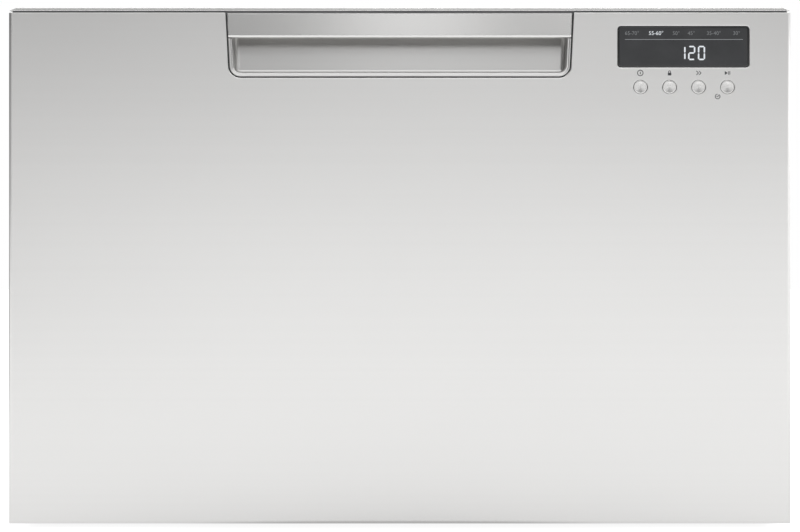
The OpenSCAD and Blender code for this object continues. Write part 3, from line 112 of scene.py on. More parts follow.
class FrontSettings(PropertyGroup):
    """Steel front, trim, grip bar and scoop"""

    steel: FloatVectorProperty(
        name="Steel", description="Colour of the brushed skin",
        subtype="COLOR", default=(0.865, 0.86, 0.85),
    )
    steel_roughness: FloatProperty(
        name="Skin Roughness", description="Gloss of the skin", default=0.28, min=0.05, max=1
    )
    bar_roughness: FloatProperty(
        name="Bar Roughness", description="Gloss of the grip bar", default=0.22, min=0.05, max=1
    )
    bar_chamfer: FloatProperty(
        name="Bar Chamfer", description="Height of the chamfer on the bar's top edge",
        default=0.0008, unit="LENGTH",
    )
    cut_radius: FloatProperty(
        name="Cut Radius", description="Rounding of the opening's edge",
        default=0.0005, unit="LENGTH",
    )
    hole_radius: FloatProperty(
        name="Hole Radius", description="Rounding of window and button holes",
        default=0.0006, unit="LENGTH",
    )
    grip_width: FloatProperty(
        name="Grip Width", description="Width of the opening at its top",
        default=0.267, unit="LENGTH",
    )
    grip_drop: FloatProperty(
        name="Grip Drop", description="Height of the opening", default=0.0499, unit="LENGTH"
    )
    grip_lean: FloatProperty(
        name="Grip Lean", description="Lean of the opening's sides",
        default=math.radians(2.9), subtype="ANGLE",
    )
    grip_corner: FloatProperty(
        name="Grip Corner", description="Radius of the opening's corners",
        default=0.0096, unit="LENGTH",
    )
    groove: FloatProperty(
        name="Groove", description="Gap round the scoop", default=0.0011, unit="LENGTH"
    )
    scoop_tilt: FloatProperty(
        name="Scoop Tilt", description="Lean of the scoop's back",
        default=math.radians(8), subtype="ANGLE",
    )
    scoop_side: FloatProperty(
        name="Side Fillet", description="Radius between side wall and back",
        default=0.0035, unit="LENGTH",
    )
    scoop_foot: FloatProperty(
        name="Lower Fillet", description="Radius between lower wall and back",
        default=0.003, unit="LENGTH",
    )


class ControlSettings(PropertyGroup):
    """Display window, marks and push buttons"""

    glass: FloatVectorProperty(
        name="Glass", description="Colour of the display window",
        subtype="COLOR", default=(0.03, 0.031, 0.033),
    )
    lit: FloatVectorProperty(
        name="Lit Marks", description="Colour of lit marks",
        subtype="COLOR", default=(0.86, 0.9, 0.95),
    )
    lit_strength: FloatProperty(
        name="Lit Strength", description="Glow of lit marks", default=0.85, min=0
    )
    dim_strength: FloatProperty(
        name="Dim Strength", description="Glow of dim marks", default=0.16, min=0
    )
    digit_h: FloatProperty(
        name="Digit Height", description="Height of the large digits", default=0.011, unit="LENGTH"
    )
    ink: FloatVectorProperty(
        name="Print", description="Colour of the printed signs",
        subtype="COLOR", default=(0.035, 0.036, 0.04),
    )
    sign_r: FloatProperty(
        name="Sign Size", description="Half the height of a printed sign",
        default=0.0022, unit="LENGTH",
    )
    cap_dish: FloatProperty(
        name="Cap Dish", description="Hollow of a button's face", default=0.0001, unit="LENGTH"
    )


class CabinetSettings(PropertyGroup):
    """Chassis sheet, plastics and seals"""

    zinc: FloatVectorProperty(
        name="Zinc", description="Colour of the galvanised sheet",
        subtype="COLOR", default=(0.55, 0.57, 0.59),
    )
    dark_plastic: FloatVectorProperty(
        name="Dark Plastic", description="Colour of dark mouldings",
        subtype="COLOR", default=(0.035, 0.036, 0.04),
    )
    white_plastic: FloatVectorProperty(
        name="White Plastic", description="Colour of white mouldings",
        subtype="COLOR", default=(0.78, 0.78, 0.76),
    )
    grey_plastic: FloatVectorProperty(
        name="Grey Plastic", description="Colour of grey mouldings",
        subtype="COLOR", default=(0.33, 0.35, 0.37),
    )
    rubber: FloatVectorProperty(
        name="Rubber", description="Colour of seals", subtype="COLOR", default=(0.03, 0.03, 0.032)
    )
    spangle: FloatProperty(
        name="Spangle", description="Size of the zinc crystals", default=0.007, unit="LENGTH"
    )


class HoseSettings(PropertyGroup):
    """Drain hose, fill hose and wiring"""

    drain_d: FloatProperty(
        name="Drain Hose", description="Outer diameter", default=0.018, unit="LENGTH"
    )
    fill_d: FloatProperty(
        name="Fill Hose", description="Outer diameter", default=0.011, unit="LENGTH"
    )
    wiring_d: FloatProperty(
        name="Wiring", description="Outer diameter of the loom", default=0.008, unit="LENGTH"
    )
    ring_pitch: FloatProperty(
        name="Ring Pitch", description="Spacing of a hose's rings", default=0.0032, unit="LENGTH"
    )
    sides: IntProperty(
        name="Sides", description="Sides of a hose's cross-section", default=20, min=8, max=48
    )


# ---------------------------------------------------------------- shader tools


def feed(tree, socket, value):
    """Joins a socket to a node or to one of its outputs, or gives it a constant"""
    if isinstance(value, bpy.types.Node):
        value = value.outputs[0]
    if isinstance(value, bpy.types.NodeSocket):
        tree.links.new(value, socket)
    elif socket.type == "RGBA":
        socket.default_value = (*value[:3], 1)
    else:
        socket.default_value = value


def add_node(tree, kind, *feeds, **values):
    """A shader node: feeds go to its first sockets, values to its fields and named sockets"""
    node = tree.nodes.new("ShaderNode" + kind)
    for key, value in values.items():
        if hasattr(node, key):
            setattr(node, key, value)
        else:
            feed(tree, node.inputs[key.replace("_", " ")], value)
    for socket, value in zip(node.inputs, feeds):
        feed(tree, socket, value)
    return node


def math_node(tree, operation, *feeds):
    """A Math node with its values in order"""
    return add_node(tree, "Math", *feeds, operation=operation)


def shade_range(tree, value, low, high, start=0.0, end=1.0):
    """A value that runs from low to high while the given one runs from start to end"""
    return add_node(
        tree, "MapRange", value, From_Min=start, From_Max=end, To_Min=low, To_Max=high
    ).outputs["Result"]


def mix_tones(tree, factor, low, high):
    """A colour between low and high"""
    mix = add_node(tree, "Mix", factor, data_type="RGBA")
    feed(tree, mix.inputs[6], low)
    feed(tree, mix.inputs[7], high)
    return mix.outputs[2]


def stretched(tree, place, scale, turn=(0, 0, 0)):
    """A coordinate turned and scaled for a pattern"""
    return add_node(
        tree, "Mapping", place, Rotation=turn, Scale=scale, vector_type="POINT"
    ).outputs["Vector"]


def levels(tree, value, start, end, stops):
    """Greys along a value, given as (place, level) stops"""
    ramp = add_node(tree, "ValToRGB", shade_range(tree, value, 0, 1, start, end))
    held = ramp.color_ramp.elements
    held[0].position, held[1].position = stops[0][0], stops[-1][0]
    held[0].color = (*[stops[0][1]] * 3, 1)
    held[1].color = (*[stops[-1][1]] * 3, 1)
    for place, level in stops[1:-1]:
        held.new(place).color = (level, level, level, 1)
    return ramp.outputs["Color"]


def tone(colour, factor, lift=0.0):
    """The colour made lighter or darker by a factor, and raised by a little"""
    return tuple(min(1.0, c * factor + lift) for c in colour[:3])


def made_once(name, inputs, outputs):
    """Makes a node group on its first use, and finds it by its name after that

    inputs gives each input's default, or None for a vector. Of the outputs, Normal is a vector.
    """

    def add_socket(tree, label, way, is_vector):
        kind = "NodeSocketVector" if is_vector else "NodeSocketFloat"
        return tree.interface.new_socket(label, in_out=way, socket_type=kind)

    def wrap(build):
        def group():
            if name not in bpy.data.node_groups:
                tree = bpy.data.node_groups.new(name, "ShaderNodeTree")
                for label, default in inputs.items():
                    socket = add_socket(tree, label, "INPUT", default is None)
                    if default is not None:
                        socket.default_value = default
                for label in outputs:
                    add_socket(tree, label, "OUTPUT", label == "Normal")
                given, out = tree.nodes.new("NodeGroupInput"), tree.nodes.new("NodeGroupOutput")
                build(tree, given.outputs, out.inputs)
            return bpy.data.node_groups[name]

        return group

    return wrap


def use_group(tree, group, **values):
    """Places a node group with its own values, and gives its outputs"""
    node = tree.nodes.new("ShaderNodeGroup")
    node.node_tree = group
    for key, value in values.items():
        feed(tree, node.inputs[key], value)
    return node.outputs


@made_once("Soft edges", {"Radius": 0.0005}, ("Normal", "Edge"))
def soft_edges_group(tree, given, out):
    """Rounds edges in the normal and gives a mask of where they are"""
    bevel = add_node(tree, "Bevel", samples=6, Radius=given["Radius"])
    flat = add_node(tree, "NewGeometry").outputs["Normal"]
    agree = add_node(tree, "VectorMath", bevel, flat, operation="DOT_PRODUCT").outputs["Value"]
    feed(tree, out["Normal"], bevel)
    feed(tree, out["Edge"], shade_range(tree, agree, 0, 1, 0.999, 0.8))


@made_once("Brushed grain", {"Vector": None}, ("Height", "Tone"))
def brushed_grain_group(tree, given, out):
    """Fine lines drawn along one direction, and their slow change in tone"""
    fine = add_node(tree, "TexNoise", given["Vector"], Scale=1.0, Detail=3.0, Roughness=0.65)
    slow = add_node(tree, "TexNoise", given["Vector"], Scale=0.11, Detail=2.0, Roughness=0.5)
    feed(tree, out["Height"], fine)
    feed(tree, out["Tone"], slow)


@made_once("Smudges", {"Vector": None, "Size": 12.0}, ("Mask",))
def smudges_group(tree, given, out):
    """Soft cloudy marks that change the gloss of a handled surface"""
    clouds = add_node(
        tree, "TexNoise", given["Vector"], Scale=given["Size"], Detail=5.0, Roughness=0.55
    )
    feed(tree, out["Mask"], shade_range(tree, clouds, 0, 1, 0.38, 0.68))


@made_once("Zinc spangle", {"Vector": None, "Cells": 90.0}, ("Tone", "Height"))
def zinc_spangle_group(tree, given, out):
    """Crystals of a galvanised coat"""
    place = given["Vector"]
    warp = add_node(tree, "TexNoise", place, Scale=60.0, Detail=2.0).outputs["Color"]
    bent = add_node(tree, "VectorMath", warp, (0.006,) * 3, place, operation="MULTIPLY_ADD")
    cells = add_node(tree, "TexVoronoi", bent, Scale=given["Cells"], feature="F1").outputs["Color"]
    feather = add_node(tree, "TexNoise", place, Scale=420.0, Detail=3.0, Roughness=0.6)
    crystal = add_node(tree, "SeparateColor", cells).outputs["Red"]
    feed(tree, out["Tone"], math_node(tree, "MULTIPLY_ADD", feather, 0.35, crystal))
    feed(tree, out["Height"], feather)


@made_once("Moulded grain", {"Vector": None, "Grain": 1400.0}, ("Height", "Flow"))
def moulded_grain_group(tree, given, out):
    """Fine eroded texture of a moulded part, with faint flow marks"""
    place = given["Vector"]
    pits = add_node(
        tree, "TexVoronoi", place, feature="SMOOTH_F1", Smoothness=0.7, Scale=given["Grain"]
    )
    flow = add_node(tree, "TexNoise", place, Scale=24.0, Detail=4.0, Distortion=0.6)
    feed(tree, out["Height"], pits)
    feed(tree, out["Flow"], flow)


@made_once("Settled dust", {"Vector": None, "Amount": 0.25}, ("Mask",))
def dust_group(tree, given, out):
    """Thin dust on faces that look up"""
    facing = add_node(tree, "SeparateXYZ", add_node(tree, "NewGeometry").outputs["Normal"])
    up = shade_range(tree, facing.outputs["Z"], 0, 1, 0.55, 1)
    specks = add_node(tree, "TexNoise", given["Vector"], Scale=310.0, Detail=6.0, Roughness=0.75)
    drift = add_node(tree, "TexNoise", given["Vector"], Scale=9.0, Detail=3.0)
    mask = math_node(tree, "MULTIPLY", specks, drift)
    for share in (up, given["Amount"]):
        mask = math_node(tree, "MULTIPLY", mask, share)
    feed(tree, out["Mask"], mask)


# ---------------------------------------------------------------- finishes


def new_finish(name, **sockets):
    """A material with a Principled shader, and its Object coordinate"""
    material = bpy.data.materials.new(name)
    material.use_nodes = True
    tree = material.node_tree
    tree.nodes.clear()
    shader = add_node(tree, "BsdfPrincipled", **sockets)
    add_node(tree, "OutputMaterial", shader)
    return material, tree, shader, add_node(tree, "TexCoord").outputs["Object"]


def surface(tree, shader, colour, mask, low, high):
    """Gives the shader its colour, and a roughness that runs from low to high with the mask"""
    feed(tree, shader.inputs["Base Color"], colour)
    feed(tree, shader.inputs["Roughness"], shade_range(tree, mask, low, high))


def bump(tree, shader, height, depth, base=None, strength=1.0):
    """Raises the surface by a height, on top of a base normal"""
    relief = add_node(tree, "Bump", Strength=strength, Distance=depth, Height=height)
    if base is not None:
        feed(tree, relief.inputs["Normal"], base)
    feed(tree, shader.inputs["Normal"], relief)


def brushed_steel(name, colour, roughness, grain, edge_r=0.0006, depth=0.000003):
    """Steel with lines along the direction that grain is small in"""
    material, tree, shader, place = new_finish(name, Metallic=1.0)
    lines = use_group(tree, brushed_grain_group(), Vector=stretched(tree, place, grain))
    marks = use_group(tree, smudges_group(), Size=7.0, Vector=place)
    edges = use_group(tree, soft_edges_group(), Radius=edge_r)
    base = mix_tones(tree, lines["Tone"], tone(colour, 0.988), tone(colour, 1.012))
    # lighter at the edges, along the edge mask
    edge_lightened = mix_tones(tree, edges["Edge"], base, tone(colour, 1.12))
    surface(tree, shader, edge_lightened, marks["Mask"], roughness * 0.99, roughness * 1.015)
    bump(tree, shader, lines["Height"], depth, edges["Normal"])
    return material


def galvanised(name, colour, cell):
    """Sheet with a zinc coat whose crystals are as large as cell"""
    material, tree, shader, place = new_finish(name, Metallic=0.9)
    spangle = use_group(tree, zinc_spangle_group(), Cells=1 / cell, Vector=place)
    dust = use_group(tree, dust_group(), Amount=0.5, Vector=place)
    edges = use_group(tree, soft_edges_group(), Radius=0.0005)
    zinc = mix_tones(tree, spangle["Tone"], tone(colour, 0.93), tone(colour, 1.06))
    # lighter at the edges, along the edge mask
    edge_lightened = mix_tones(tree, edges["Edge"], zinc, tone(colour, 1.35))
    dusty = mix_tones(tree, dust["Mask"], edge_lightened, (0.5, 0.48, 0.45))
    surface(tree, shader, dusty, spangle["Tone"], 0.4, 0.48)
    bump(tree, shader, spangle["Height"], 0.00002, edges["Normal"], 0.35)
    return material


def moulded(name, colour, roughness, grain=1400.0, dusty=0.2):
    """A plastic moulding, lighter at its edges and a little dusty"""
    material, tree, shader, place = new_finish(name, Coat_Weight=0.0, Coat_Roughness=0.12)
    skin = use_group(tree, moulded_grain_group(), Grain=grain, Vector=place)
    dust = use_group(tree, dust_group(), Amount=dusty, Vector=place)
    marks = use_group(tree, smudges_group(), Size=18.0, Vector=place)
    edges = use_group(tree, soft_edges_group(), Radius=0.0006)
    base = mix_tones(tree, skin["Flow"], tone(colour, 0.9), tone(colour, 1.12))
    # lighter at the edges, along the edge mask
    edge_lightened = mix_tones(tree, edges["Edge"], base, tone(colour, 1.15, 0.03))
    dulled = mix_tones(tree, dust["Mask"], edge_lightened, (0.55, 0.53, 0.5))
    surface(tree, shader, dulled, marks["Mask"], roughness * 0.88, roughness * 1.14)
    bump(tree, shader, skin["Height"], 0.00003, edges["Normal"], 0.5)
    return material


def rubber(name, colour, roughness=0.62, fine=900.0, depth=0.00004):
    """Rubber or foam with a fine skin"""
    material, tree, shader, place = new_finish(name, Sheen_Weight=0.2, Sheen_Roughness=0.5)
    skin = use_group(tree, moulded_grain_group(), Grain=fine, Vector=place)
    dust = use_group(tree, dust_group(), Amount=0.5, Vector=place)
    base = mix_tones(tree, skin["Flow"], tone(colour, 0.75), tone(colour, 1.35))
    dulled = mix_tones(tree, dust["Mask"], base, (0.4, 0.39, 0.37))
    surface(tree, shader, dulled, skin["Flow"], roughness * 0.85, roughness * 1.15)
    bump(tree, shader, skin["Height"], depth, None, 0.6)
    return material


def wave_along(tree, attribute, rate):
    """A sine wave along an attribute of the mesh"""
    read = add_node(tree, "Attribute", attribute_name=attribute).outputs["Fac"]
    return math_node(tree, "SINE", math_node(tree, "MULTIPLY", read, rate))


def ringed_hose(name, colour, pitch, depth, roughness=0.5, woven=False):
    """A hose with rings along its run, with painted shade in the ring valleys and a painted
    highlight on the crests; the run is an attribute in metres
    """
    material, tree, shader, place = new_finish(name)
    wave = wave_along(tree, "hose_run", 2 * math.pi / pitch)
    if woven:
        wave = math_node(tree, "MULTIPLY", wave_along(tree, "hose_turn", 12 * math.pi), wave)
    height = shade_range(tree, wave, 0, 1, -1, 1)
    stain = use_group(tree, smudges_group(), Size=40.0, Vector=place)
    # painted shade and highlight: darker in the ring valleys, lighter on the crests, following the
    # bump
    base = mix_tones(tree, height, tone(colour, 0.7), tone(colour, 1.15))
    stained = mix_tones(tree, stain["Mask"], base, tone(colour, 0.85))
    surface(tree, shader, stained, stain["Mask"], roughness * 0.85, roughness * 1.15)
    bump(tree, shader, height, depth)
    return material


def coated_wire(name, colour):
    """Nylon powder coat on a wire"""
    material, tree, shader, place = new_finish(name, Coat_Weight=0.35, Coat_Roughness=0.2)
    skin = use_group(tree, moulded_grain_group(), Grain=700.0, Vector=place)
    nylon = mix_tones(tree, skin["Flow"], tone(colour, 0.88), tone(colour, 1.1))
    surface(tree, shader, nylon, skin["Flow"], 0.34, 0.48)
    bump(tree, shader, skin["Height"], 0.00008, None, 0.4)
    return material


def circuit_board(name):
    """Green board with its tracks under a clear coat"""
    material, tree, shader, place = new_finish(name, Coat_Weight=0.5, Coat_Roughness=0.15)
    tracks = add_node(
        tree,
        "TexBrick",
        stretched(tree, place, (160, 160, 160), (math.pi / 2, 0, 0)),
        offset=0.4,
        Color1=(0.02, 0.16, 0.07),
        Color2=(0.015, 0.12, 0.055),
        Mortar=(0.05, 0.3, 0.13),
        Scale=1.0,
        Mortar_Size=0.06,
        Brick_Width=1.4,
        Row_Height=0.5,
    )
    pads = use_group(tree, smudges_group(), Size=90.0, Vector=place)
    surface(tree, shader, tracks, pads["Mask"], 0.3, 0.55)
    bump(tree, shader, tracks.outputs["Fac"], 0.00005)
    return material


def wound_core(name):
    """Copper windings seen between the laminations of a motor, with painted shade dark between the
    wires
    """
    material, tree, shader, place = new_finish(name, Metallic=0.85)
    wires = add_node(
        tree, "TexWave", place, wave_type="BANDS", bands_direction="Z", Scale=260.0, Distortion=1.2
    ).outputs["Fac"]
    # painted shade: dark between the wires, bright copper on them, following the bump
    copper = mix_tones(tree, wires, (0.22, 0.08, 0.03), (0.78, 0.38, 0.17))
    surface(tree, shader, copper, wires, 0.5, 0.3)
    bump(tree, shader, wires, 0.0002)
    return material


def felt_pad(name):
    """Bitumen damping pad pressed with a fine diamond pattern"""
    material, tree, shader, place = new_finish(name)
    nets = [
        add_node(tree, "TexWave", way, wave_type="BANDS", bands_direction="DIAGONAL", Scale=60.0)
        for way in (place, stretched(tree, place, (-1, 1, 1)))
    ]
    pressed = math_node(tree, "MULTIPLY", *(net.outputs["Fac"] for net in nets))
    fibres = add_node(tree, "TexNoise", place, Scale=800.0, Detail=5.0)
    felt = mix_tones(tree, fibres, (0.018, 0.018, 0.019), (0.06, 0.06, 0.062))
    surface(tree, shader, felt, fibres, 0.75, 0.95)
    bump(tree, shader, pressed, 0.0006)
    return material


def display_glass(name, colour):
    """Smoked glass with faint finger marks"""
    material, tree, shader, place = new_finish(name, Coat_Weight=0.4, Coat_Roughness=0.03)
    marks = use_group(tree, smudges_group(), Size=60.0, Vector=place)
    smoke = mix_tones(tree, marks["Mask"], tone(colour, 0.94), tone(colour, 1.08))
    surface(tree, shader, smoke, marks["Mask"], 0.1, 0.16)
    edges = use_group(tree, soft_edges_group(), Radius=0.0003)
    bump(tree, shader, marks["Mask"], 0.000002, edges["Normal"])
    return material


def lit_mark(name, colour, strength):
    """A glowing segment whose light is a little uneven"""
    material, tree, shader, place = new_finish(name, Roughness=0.3, Emission_Strength=strength)
    glow = add_node(tree, "TexNoise", place, Scale=900.0, Detail=2.0)
    lit = mix_tones(tree, glow, tone(colour, 0.9), tone(colour, 1.06))
    feed(tree, shader.inputs["Emission Color"], lit)
    feed(tree, shader.inputs["Base Color"], mix_tones(tree, glow, (0.02,) * 3, (0.04,) * 3))
    return material


def printed_ink(name, colour):
    """Screen-printed ink"""
    material, tree, shader, place = new_finish(name, Specular_IOR_Level=0.4)
    screen = add_node(tree, "TexNoise", place, Scale=1500.0, Detail=3.0)
    ink = mix_tones(tree, screen, tone(colour, 0.8), tone(colour, 1.3))
    surface(tree, shader, ink, screen, 0.45, 0.6)
    return material


def spun_steel(name, colour, roughness):
    """Steel cap turned on a lathe: its gloss is drawn out across the rings"""
    material, tree, shader, _ = new_finish(name, Metallic=1.0, Anisotropic=0.75)
    turn = add_node(tree, "UVMap", uv_map="lathe")
    rings = add_node(tree, "TexNoise", stretched(tree, turn, (4, 160, 1)), Scale=1.0, Detail=3.0)
    tangent = add_node(tree, "Tangent", direction_type="UV_MAP", uv_map="lathe")
    feed(tree, shader.inputs["Tangent"], tangent)
    cap = mix_tones(tree, rings, tone(colour, 0.9), tone(colour, 1.1))
    surface(tree, shader, cap, rings, roughness * 0.8, roughness * 1.25)
    return material


# ---------------------------------------------------------------- mesh tools


def new_piece(name, bm, material, body, smooth=40):
    """Makes an object from a bmesh, at the origin, with its finish and the body it moves with"""
    mesh = bpy.data.meshes.new(name)
    bm.to_mesh(mesh)
    bm.free()
    piece = bpy.data.objects.new(name, mesh)
    bpy.context.scene.collection.objects.link(piece)
    for finish in material if isinstance(material, (list, tuple)) else [material]:
        mesh.materials.append(finish)
    mesh.shade_smooth()
    mesh.set_sharp_from_angle(angle=math.radians(smooth))
    if body:
        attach(piece, body)
    return piece


def block(bm, low, high):
    """A box between two corners"""
    low, high = Vector(low), Vector(high)
    place = Matrix.Translation((low + high) / 2) @ Matrix.Diagonal((*(high - low), 1))
    bmesh.ops.create_cube(bm, size=1, matrix=place)


def edges_along(bm, axis):
    """Edges of a bmesh that run along an axis"""
    return [
        e for e in bm.edges if abs((e.verts[1].co - e.verts[0].co).normalized()[axis]) > 0.999
    ]


def round_off(bm, edges, radius, segments=4):
    """Rounds edges with one radius"""
    bmesh.ops.bevel(
        bm,
        geom=edges,
        offset=radius,
        offset_type="OFFSET",
        segments=segments,
        profile=0.5,
        affect="EDGES",
        clamp_overlap=True,
        material=-1,
    )


def close_up(bm):
    """Merges doubled points, and points the faces outwards"""
    bmesh.ops.remove_doubles(bm, verts=bm.verts, dist=1e-7)
    bmesh.ops.recalc_face_normals(bm, faces=bm.faces)


def merged_copy(name):
    """The mesh of a CAD node with its triangles merged into whole faces"""
    bm = bmesh.new()
    bm.from_mesh(NODES[name].data)
    bmesh.ops.remove_doubles(bm, verts=bm.verts, dist=2e-6)
    bmesh.ops.dissolve_limit(bm, angle_limit=math.radians(1), verts=bm.verts, edges=bm.edges)
    return bm


def steady_normals(piece):
    """Keeps flat faces flat where they run into rounded edges"""
    piece.modifiers.new("steady normals", "WEIGHTED_NORMAL").keep_sharp = True


def refined(node, name, bm, material, smooth=40):
    """A finer piece in the place of a CAD node, on the node's body; the node is hidden"""
    piece = new_piece(name, bm, material, BODY_OF[node], smooth)
    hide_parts(node)
    return piece


def rounded_block(bm, low, high, corner, edge, segments):
    """A plate on the front plane with rounded corners and softened edges"""
    fresh = bmesh.new()
    block(fresh, low, high)
    round_off(fresh, edges_along(fresh, 1), corner, segments)
    if edge:
        faces_at = (low[1], high[1])
        rim = [
            e for e in fresh.edges
            if any(all(abs(v.co.y - y) < 1e-7 for v in e.verts) for y in faces_at)
        ]
        round_off(fresh, rim, edge, 2)
    close_up(fresh)
    mesh = bpy.data.meshes.new("part")
    fresh.to_mesh(mesh)
    fresh.free()
    bm.from_mesh(mesh)
    bpy.data.meshes.remove(mesh)


def turned(bm, profile, centre, steps):
    """Spins a profile of (radius, depth) points round an axis that runs into the front"""
    axis = Vector((0, 1, 0))
    out = axis.orthogonal().normalized()
    chain = [bm.verts.new(centre + out * r + axis * t) for r, t in profile]
    line = [bm.edges.new(pair) for pair in zip(chain, chain[1:])]
    bmesh.ops.spin(
        bm,
        geom=chain + line,
        cent=centre,
        axis=axis,
        angle=2 * math.pi,
        steps=steps,
        use_merge=True,
        use_duplicate=False,
    )
    close_up(bm)


def flat_ring(bm, centre, outer, inner, start=0.0, sweep=2 * math.pi, steps=40):
    """A printed ring or arc on the front plane, spun from a small quad"""
    centre = Vector(centre)
    ray = Vector((math.sin(start), 0, math.cos(start)))
    back = Vector((0, PRINT_T, 0))
    quad = [bm.verts.new(centre + ray * r) for r in (inner, outer)]
    quad += [bm.verts.new(centre + ray * r + back) for r in (outer, inner)]
    face = bm.faces.new(quad)
    geom = quad + list(face.edges)
    full = sweep == 2 * math.pi
    if full:
        bm.faces.remove(face)
    else:
        geom.append(face)
    bmesh.ops.spin(
        bm,
        geom=geom,
        cent=centre,
        axis=(0, 1, 0),
        angle=sweep,
        steps=steps,
        use_merge=full,
        use_duplicate=False,
    )


def flat_bar(bm, start, end, width):
    """A printed bar on the front plane from start to end"""
    start, end = Vector(start), Vector(end)
    run = end - start
    middle = (start + end) / 2 + Vector((0, PRINT_T / 2, 0))
    turn = Matrix.Rotation(math.atan2(run.x, run.z), 4, "Y")
    size = Matrix.Diagonal((width, PRINT_T, run.length, 1))
    bmesh.ops.create_cube(bm, size=1, matrix=Matrix.Translation(middle) @ turn @ size)


def flat_shape(bm, points):
    """A printed sign with the given outline on the front plane"""
    face = bm.faces.new([bm.verts.new(p) for p in points])
    moved = bmesh.ops.extrude_face_region(bm, geom=[face])["geom"]
    verts = [v for v in moved if isinstance(v, bmesh.types.BMVert)]
    bmesh.ops.translate(bm, verts=verts, vec=(0, PRINT_T, 0))


def write_text(bm, words, place, height):
    """Adds plain figures in Blender's own face, standing on the front plane"""
    curve = bpy.data.curves.new("figures", "FONT")
    curve.body = words
    curve.size = height * 1.4
    curve.align_x = "CENTER"
    curve.align_y = "CENTER"
    curve.extrude = PRINT_T / 2
    curve.resolution_u = 4
    holder = bpy.data.objects.new("figures", curve)
    bpy.context.scene.collection.objects.link(holder)
    mesh = bpy.data.meshes.new_from_object(holder)
    bpy.data.objects.remove(holder)
    bpy.data.curves.remove(curve)
    mesh.transform(Matrix.Translation(Vector(place)) @ Matrix.Rotation(math.pi / 2, 4, "X"))
    bm.from_mesh(mesh)
    bpy.data.meshes.remove(mesh)


def smooth_route(points, step):
    """A smooth curve through the points, as points about a step apart, and its length"""
    points = [Vector(p) for p in points]
    ends = [points[0] * 2 - points[1]] + points + [points[-1] * 2 - points[-2]]
    dense = []
    for a, b, c, d in zip(ends, ends[1:], ends[2:], ends[3:]):
        square, cube = 2 * a - 5 * b + 4 * c - d, 3 * b - a - 3 * c + d
        for t in (i / 24 for i in range(24)):
            dense.append(0.5 * (2 * b + (c - a) * t + square * t * t + cube * t * t * t))
    dense.append(points[-1])
    runs = [0.0]
    for a, b in zip(dense, dense[1:]):
        runs.append(runs[-1] + (b - a).length)
    count = max(2, round(runs[-1] / step))
    route, k = [], 0
    for i in range(count + 1):
        want = runs[-1] * i / count
        while k < len(runs) - 2 and runs[k + 1] < want:
            k += 1
        share = (want - runs[k]) / max(runs[k + 1] - runs[k], 1e-9)
        route.append(dense[k].lerp(dense[k + 1], min(1, max(0, share))))
    return route, runs[-1]


def hose(name, points, diameter, sides, material):
    """A hose along a route: rings of vertices 3 mm apart, bridged and capped"""
    route, length = smooth_route(points, 0.003)
    bm = bmesh.new()
    run_layer = bm.verts.layers.float.new("hose_run")
    turn_layer = bm.verts.layers.float.new("hose_turn")
    across = None
    rings = []
    for i, point in enumerate(route):
        ahead = (route[min(i + 1, len(route) - 1)] - route[max(i - 1, 0)]).normalized()
        across = ahead.orthogonal() if across is None else across - ahead * across.dot(ahead)
        across.normalize()
        turn = Matrix((across, ahead.cross(across), ahead)).transposed().to_4x4()
        ring = bmesh.ops.create_circle(
            bm,
            cap_ends=False,
            segments=sides,
            radius=diameter / 2,
            matrix=Matrix.Translation(point) @ turn,
        )["verts"]
        for k, vert in enumerate(ring):
            vert[run_layer] = length * i / (len(route) - 1)
            vert[turn_layer] = k / sides
        rings.append(ring)
    bm.edges.index_update()
    loops = [{e for v in ring for e in v.link_edges} for ring in rings]
    for a, b in zip(loops, loops[1:]):
        bmesh.ops.bridge_loops(bm, edges=list(a | b))
        bm.verts.ensure_lookup_table()
    for ring in (rings[0], rings[-1]):
        bmesh.ops.contextual_create(bm, geom=ring)
    bmesh.ops.recalc_face_normals(bm, faces=bm.faces)
    return new_piece(name, bm, material, None, 60), route, length


FINISHES = {}  # by node or by slot; a node's own finish comes first


def dress_nodes():
    """Gives each CAD node its own finish, or the finish of its slot"""
    for name, node in NODES.items():
        finish = FINISHES.get(name) or FINISHES.get(SLOT_OF[name])
        if finish is not None:
            node.data.materials.clear()
            node.data.materials.append(finish)


# ---------------------------------------------------------------- operators


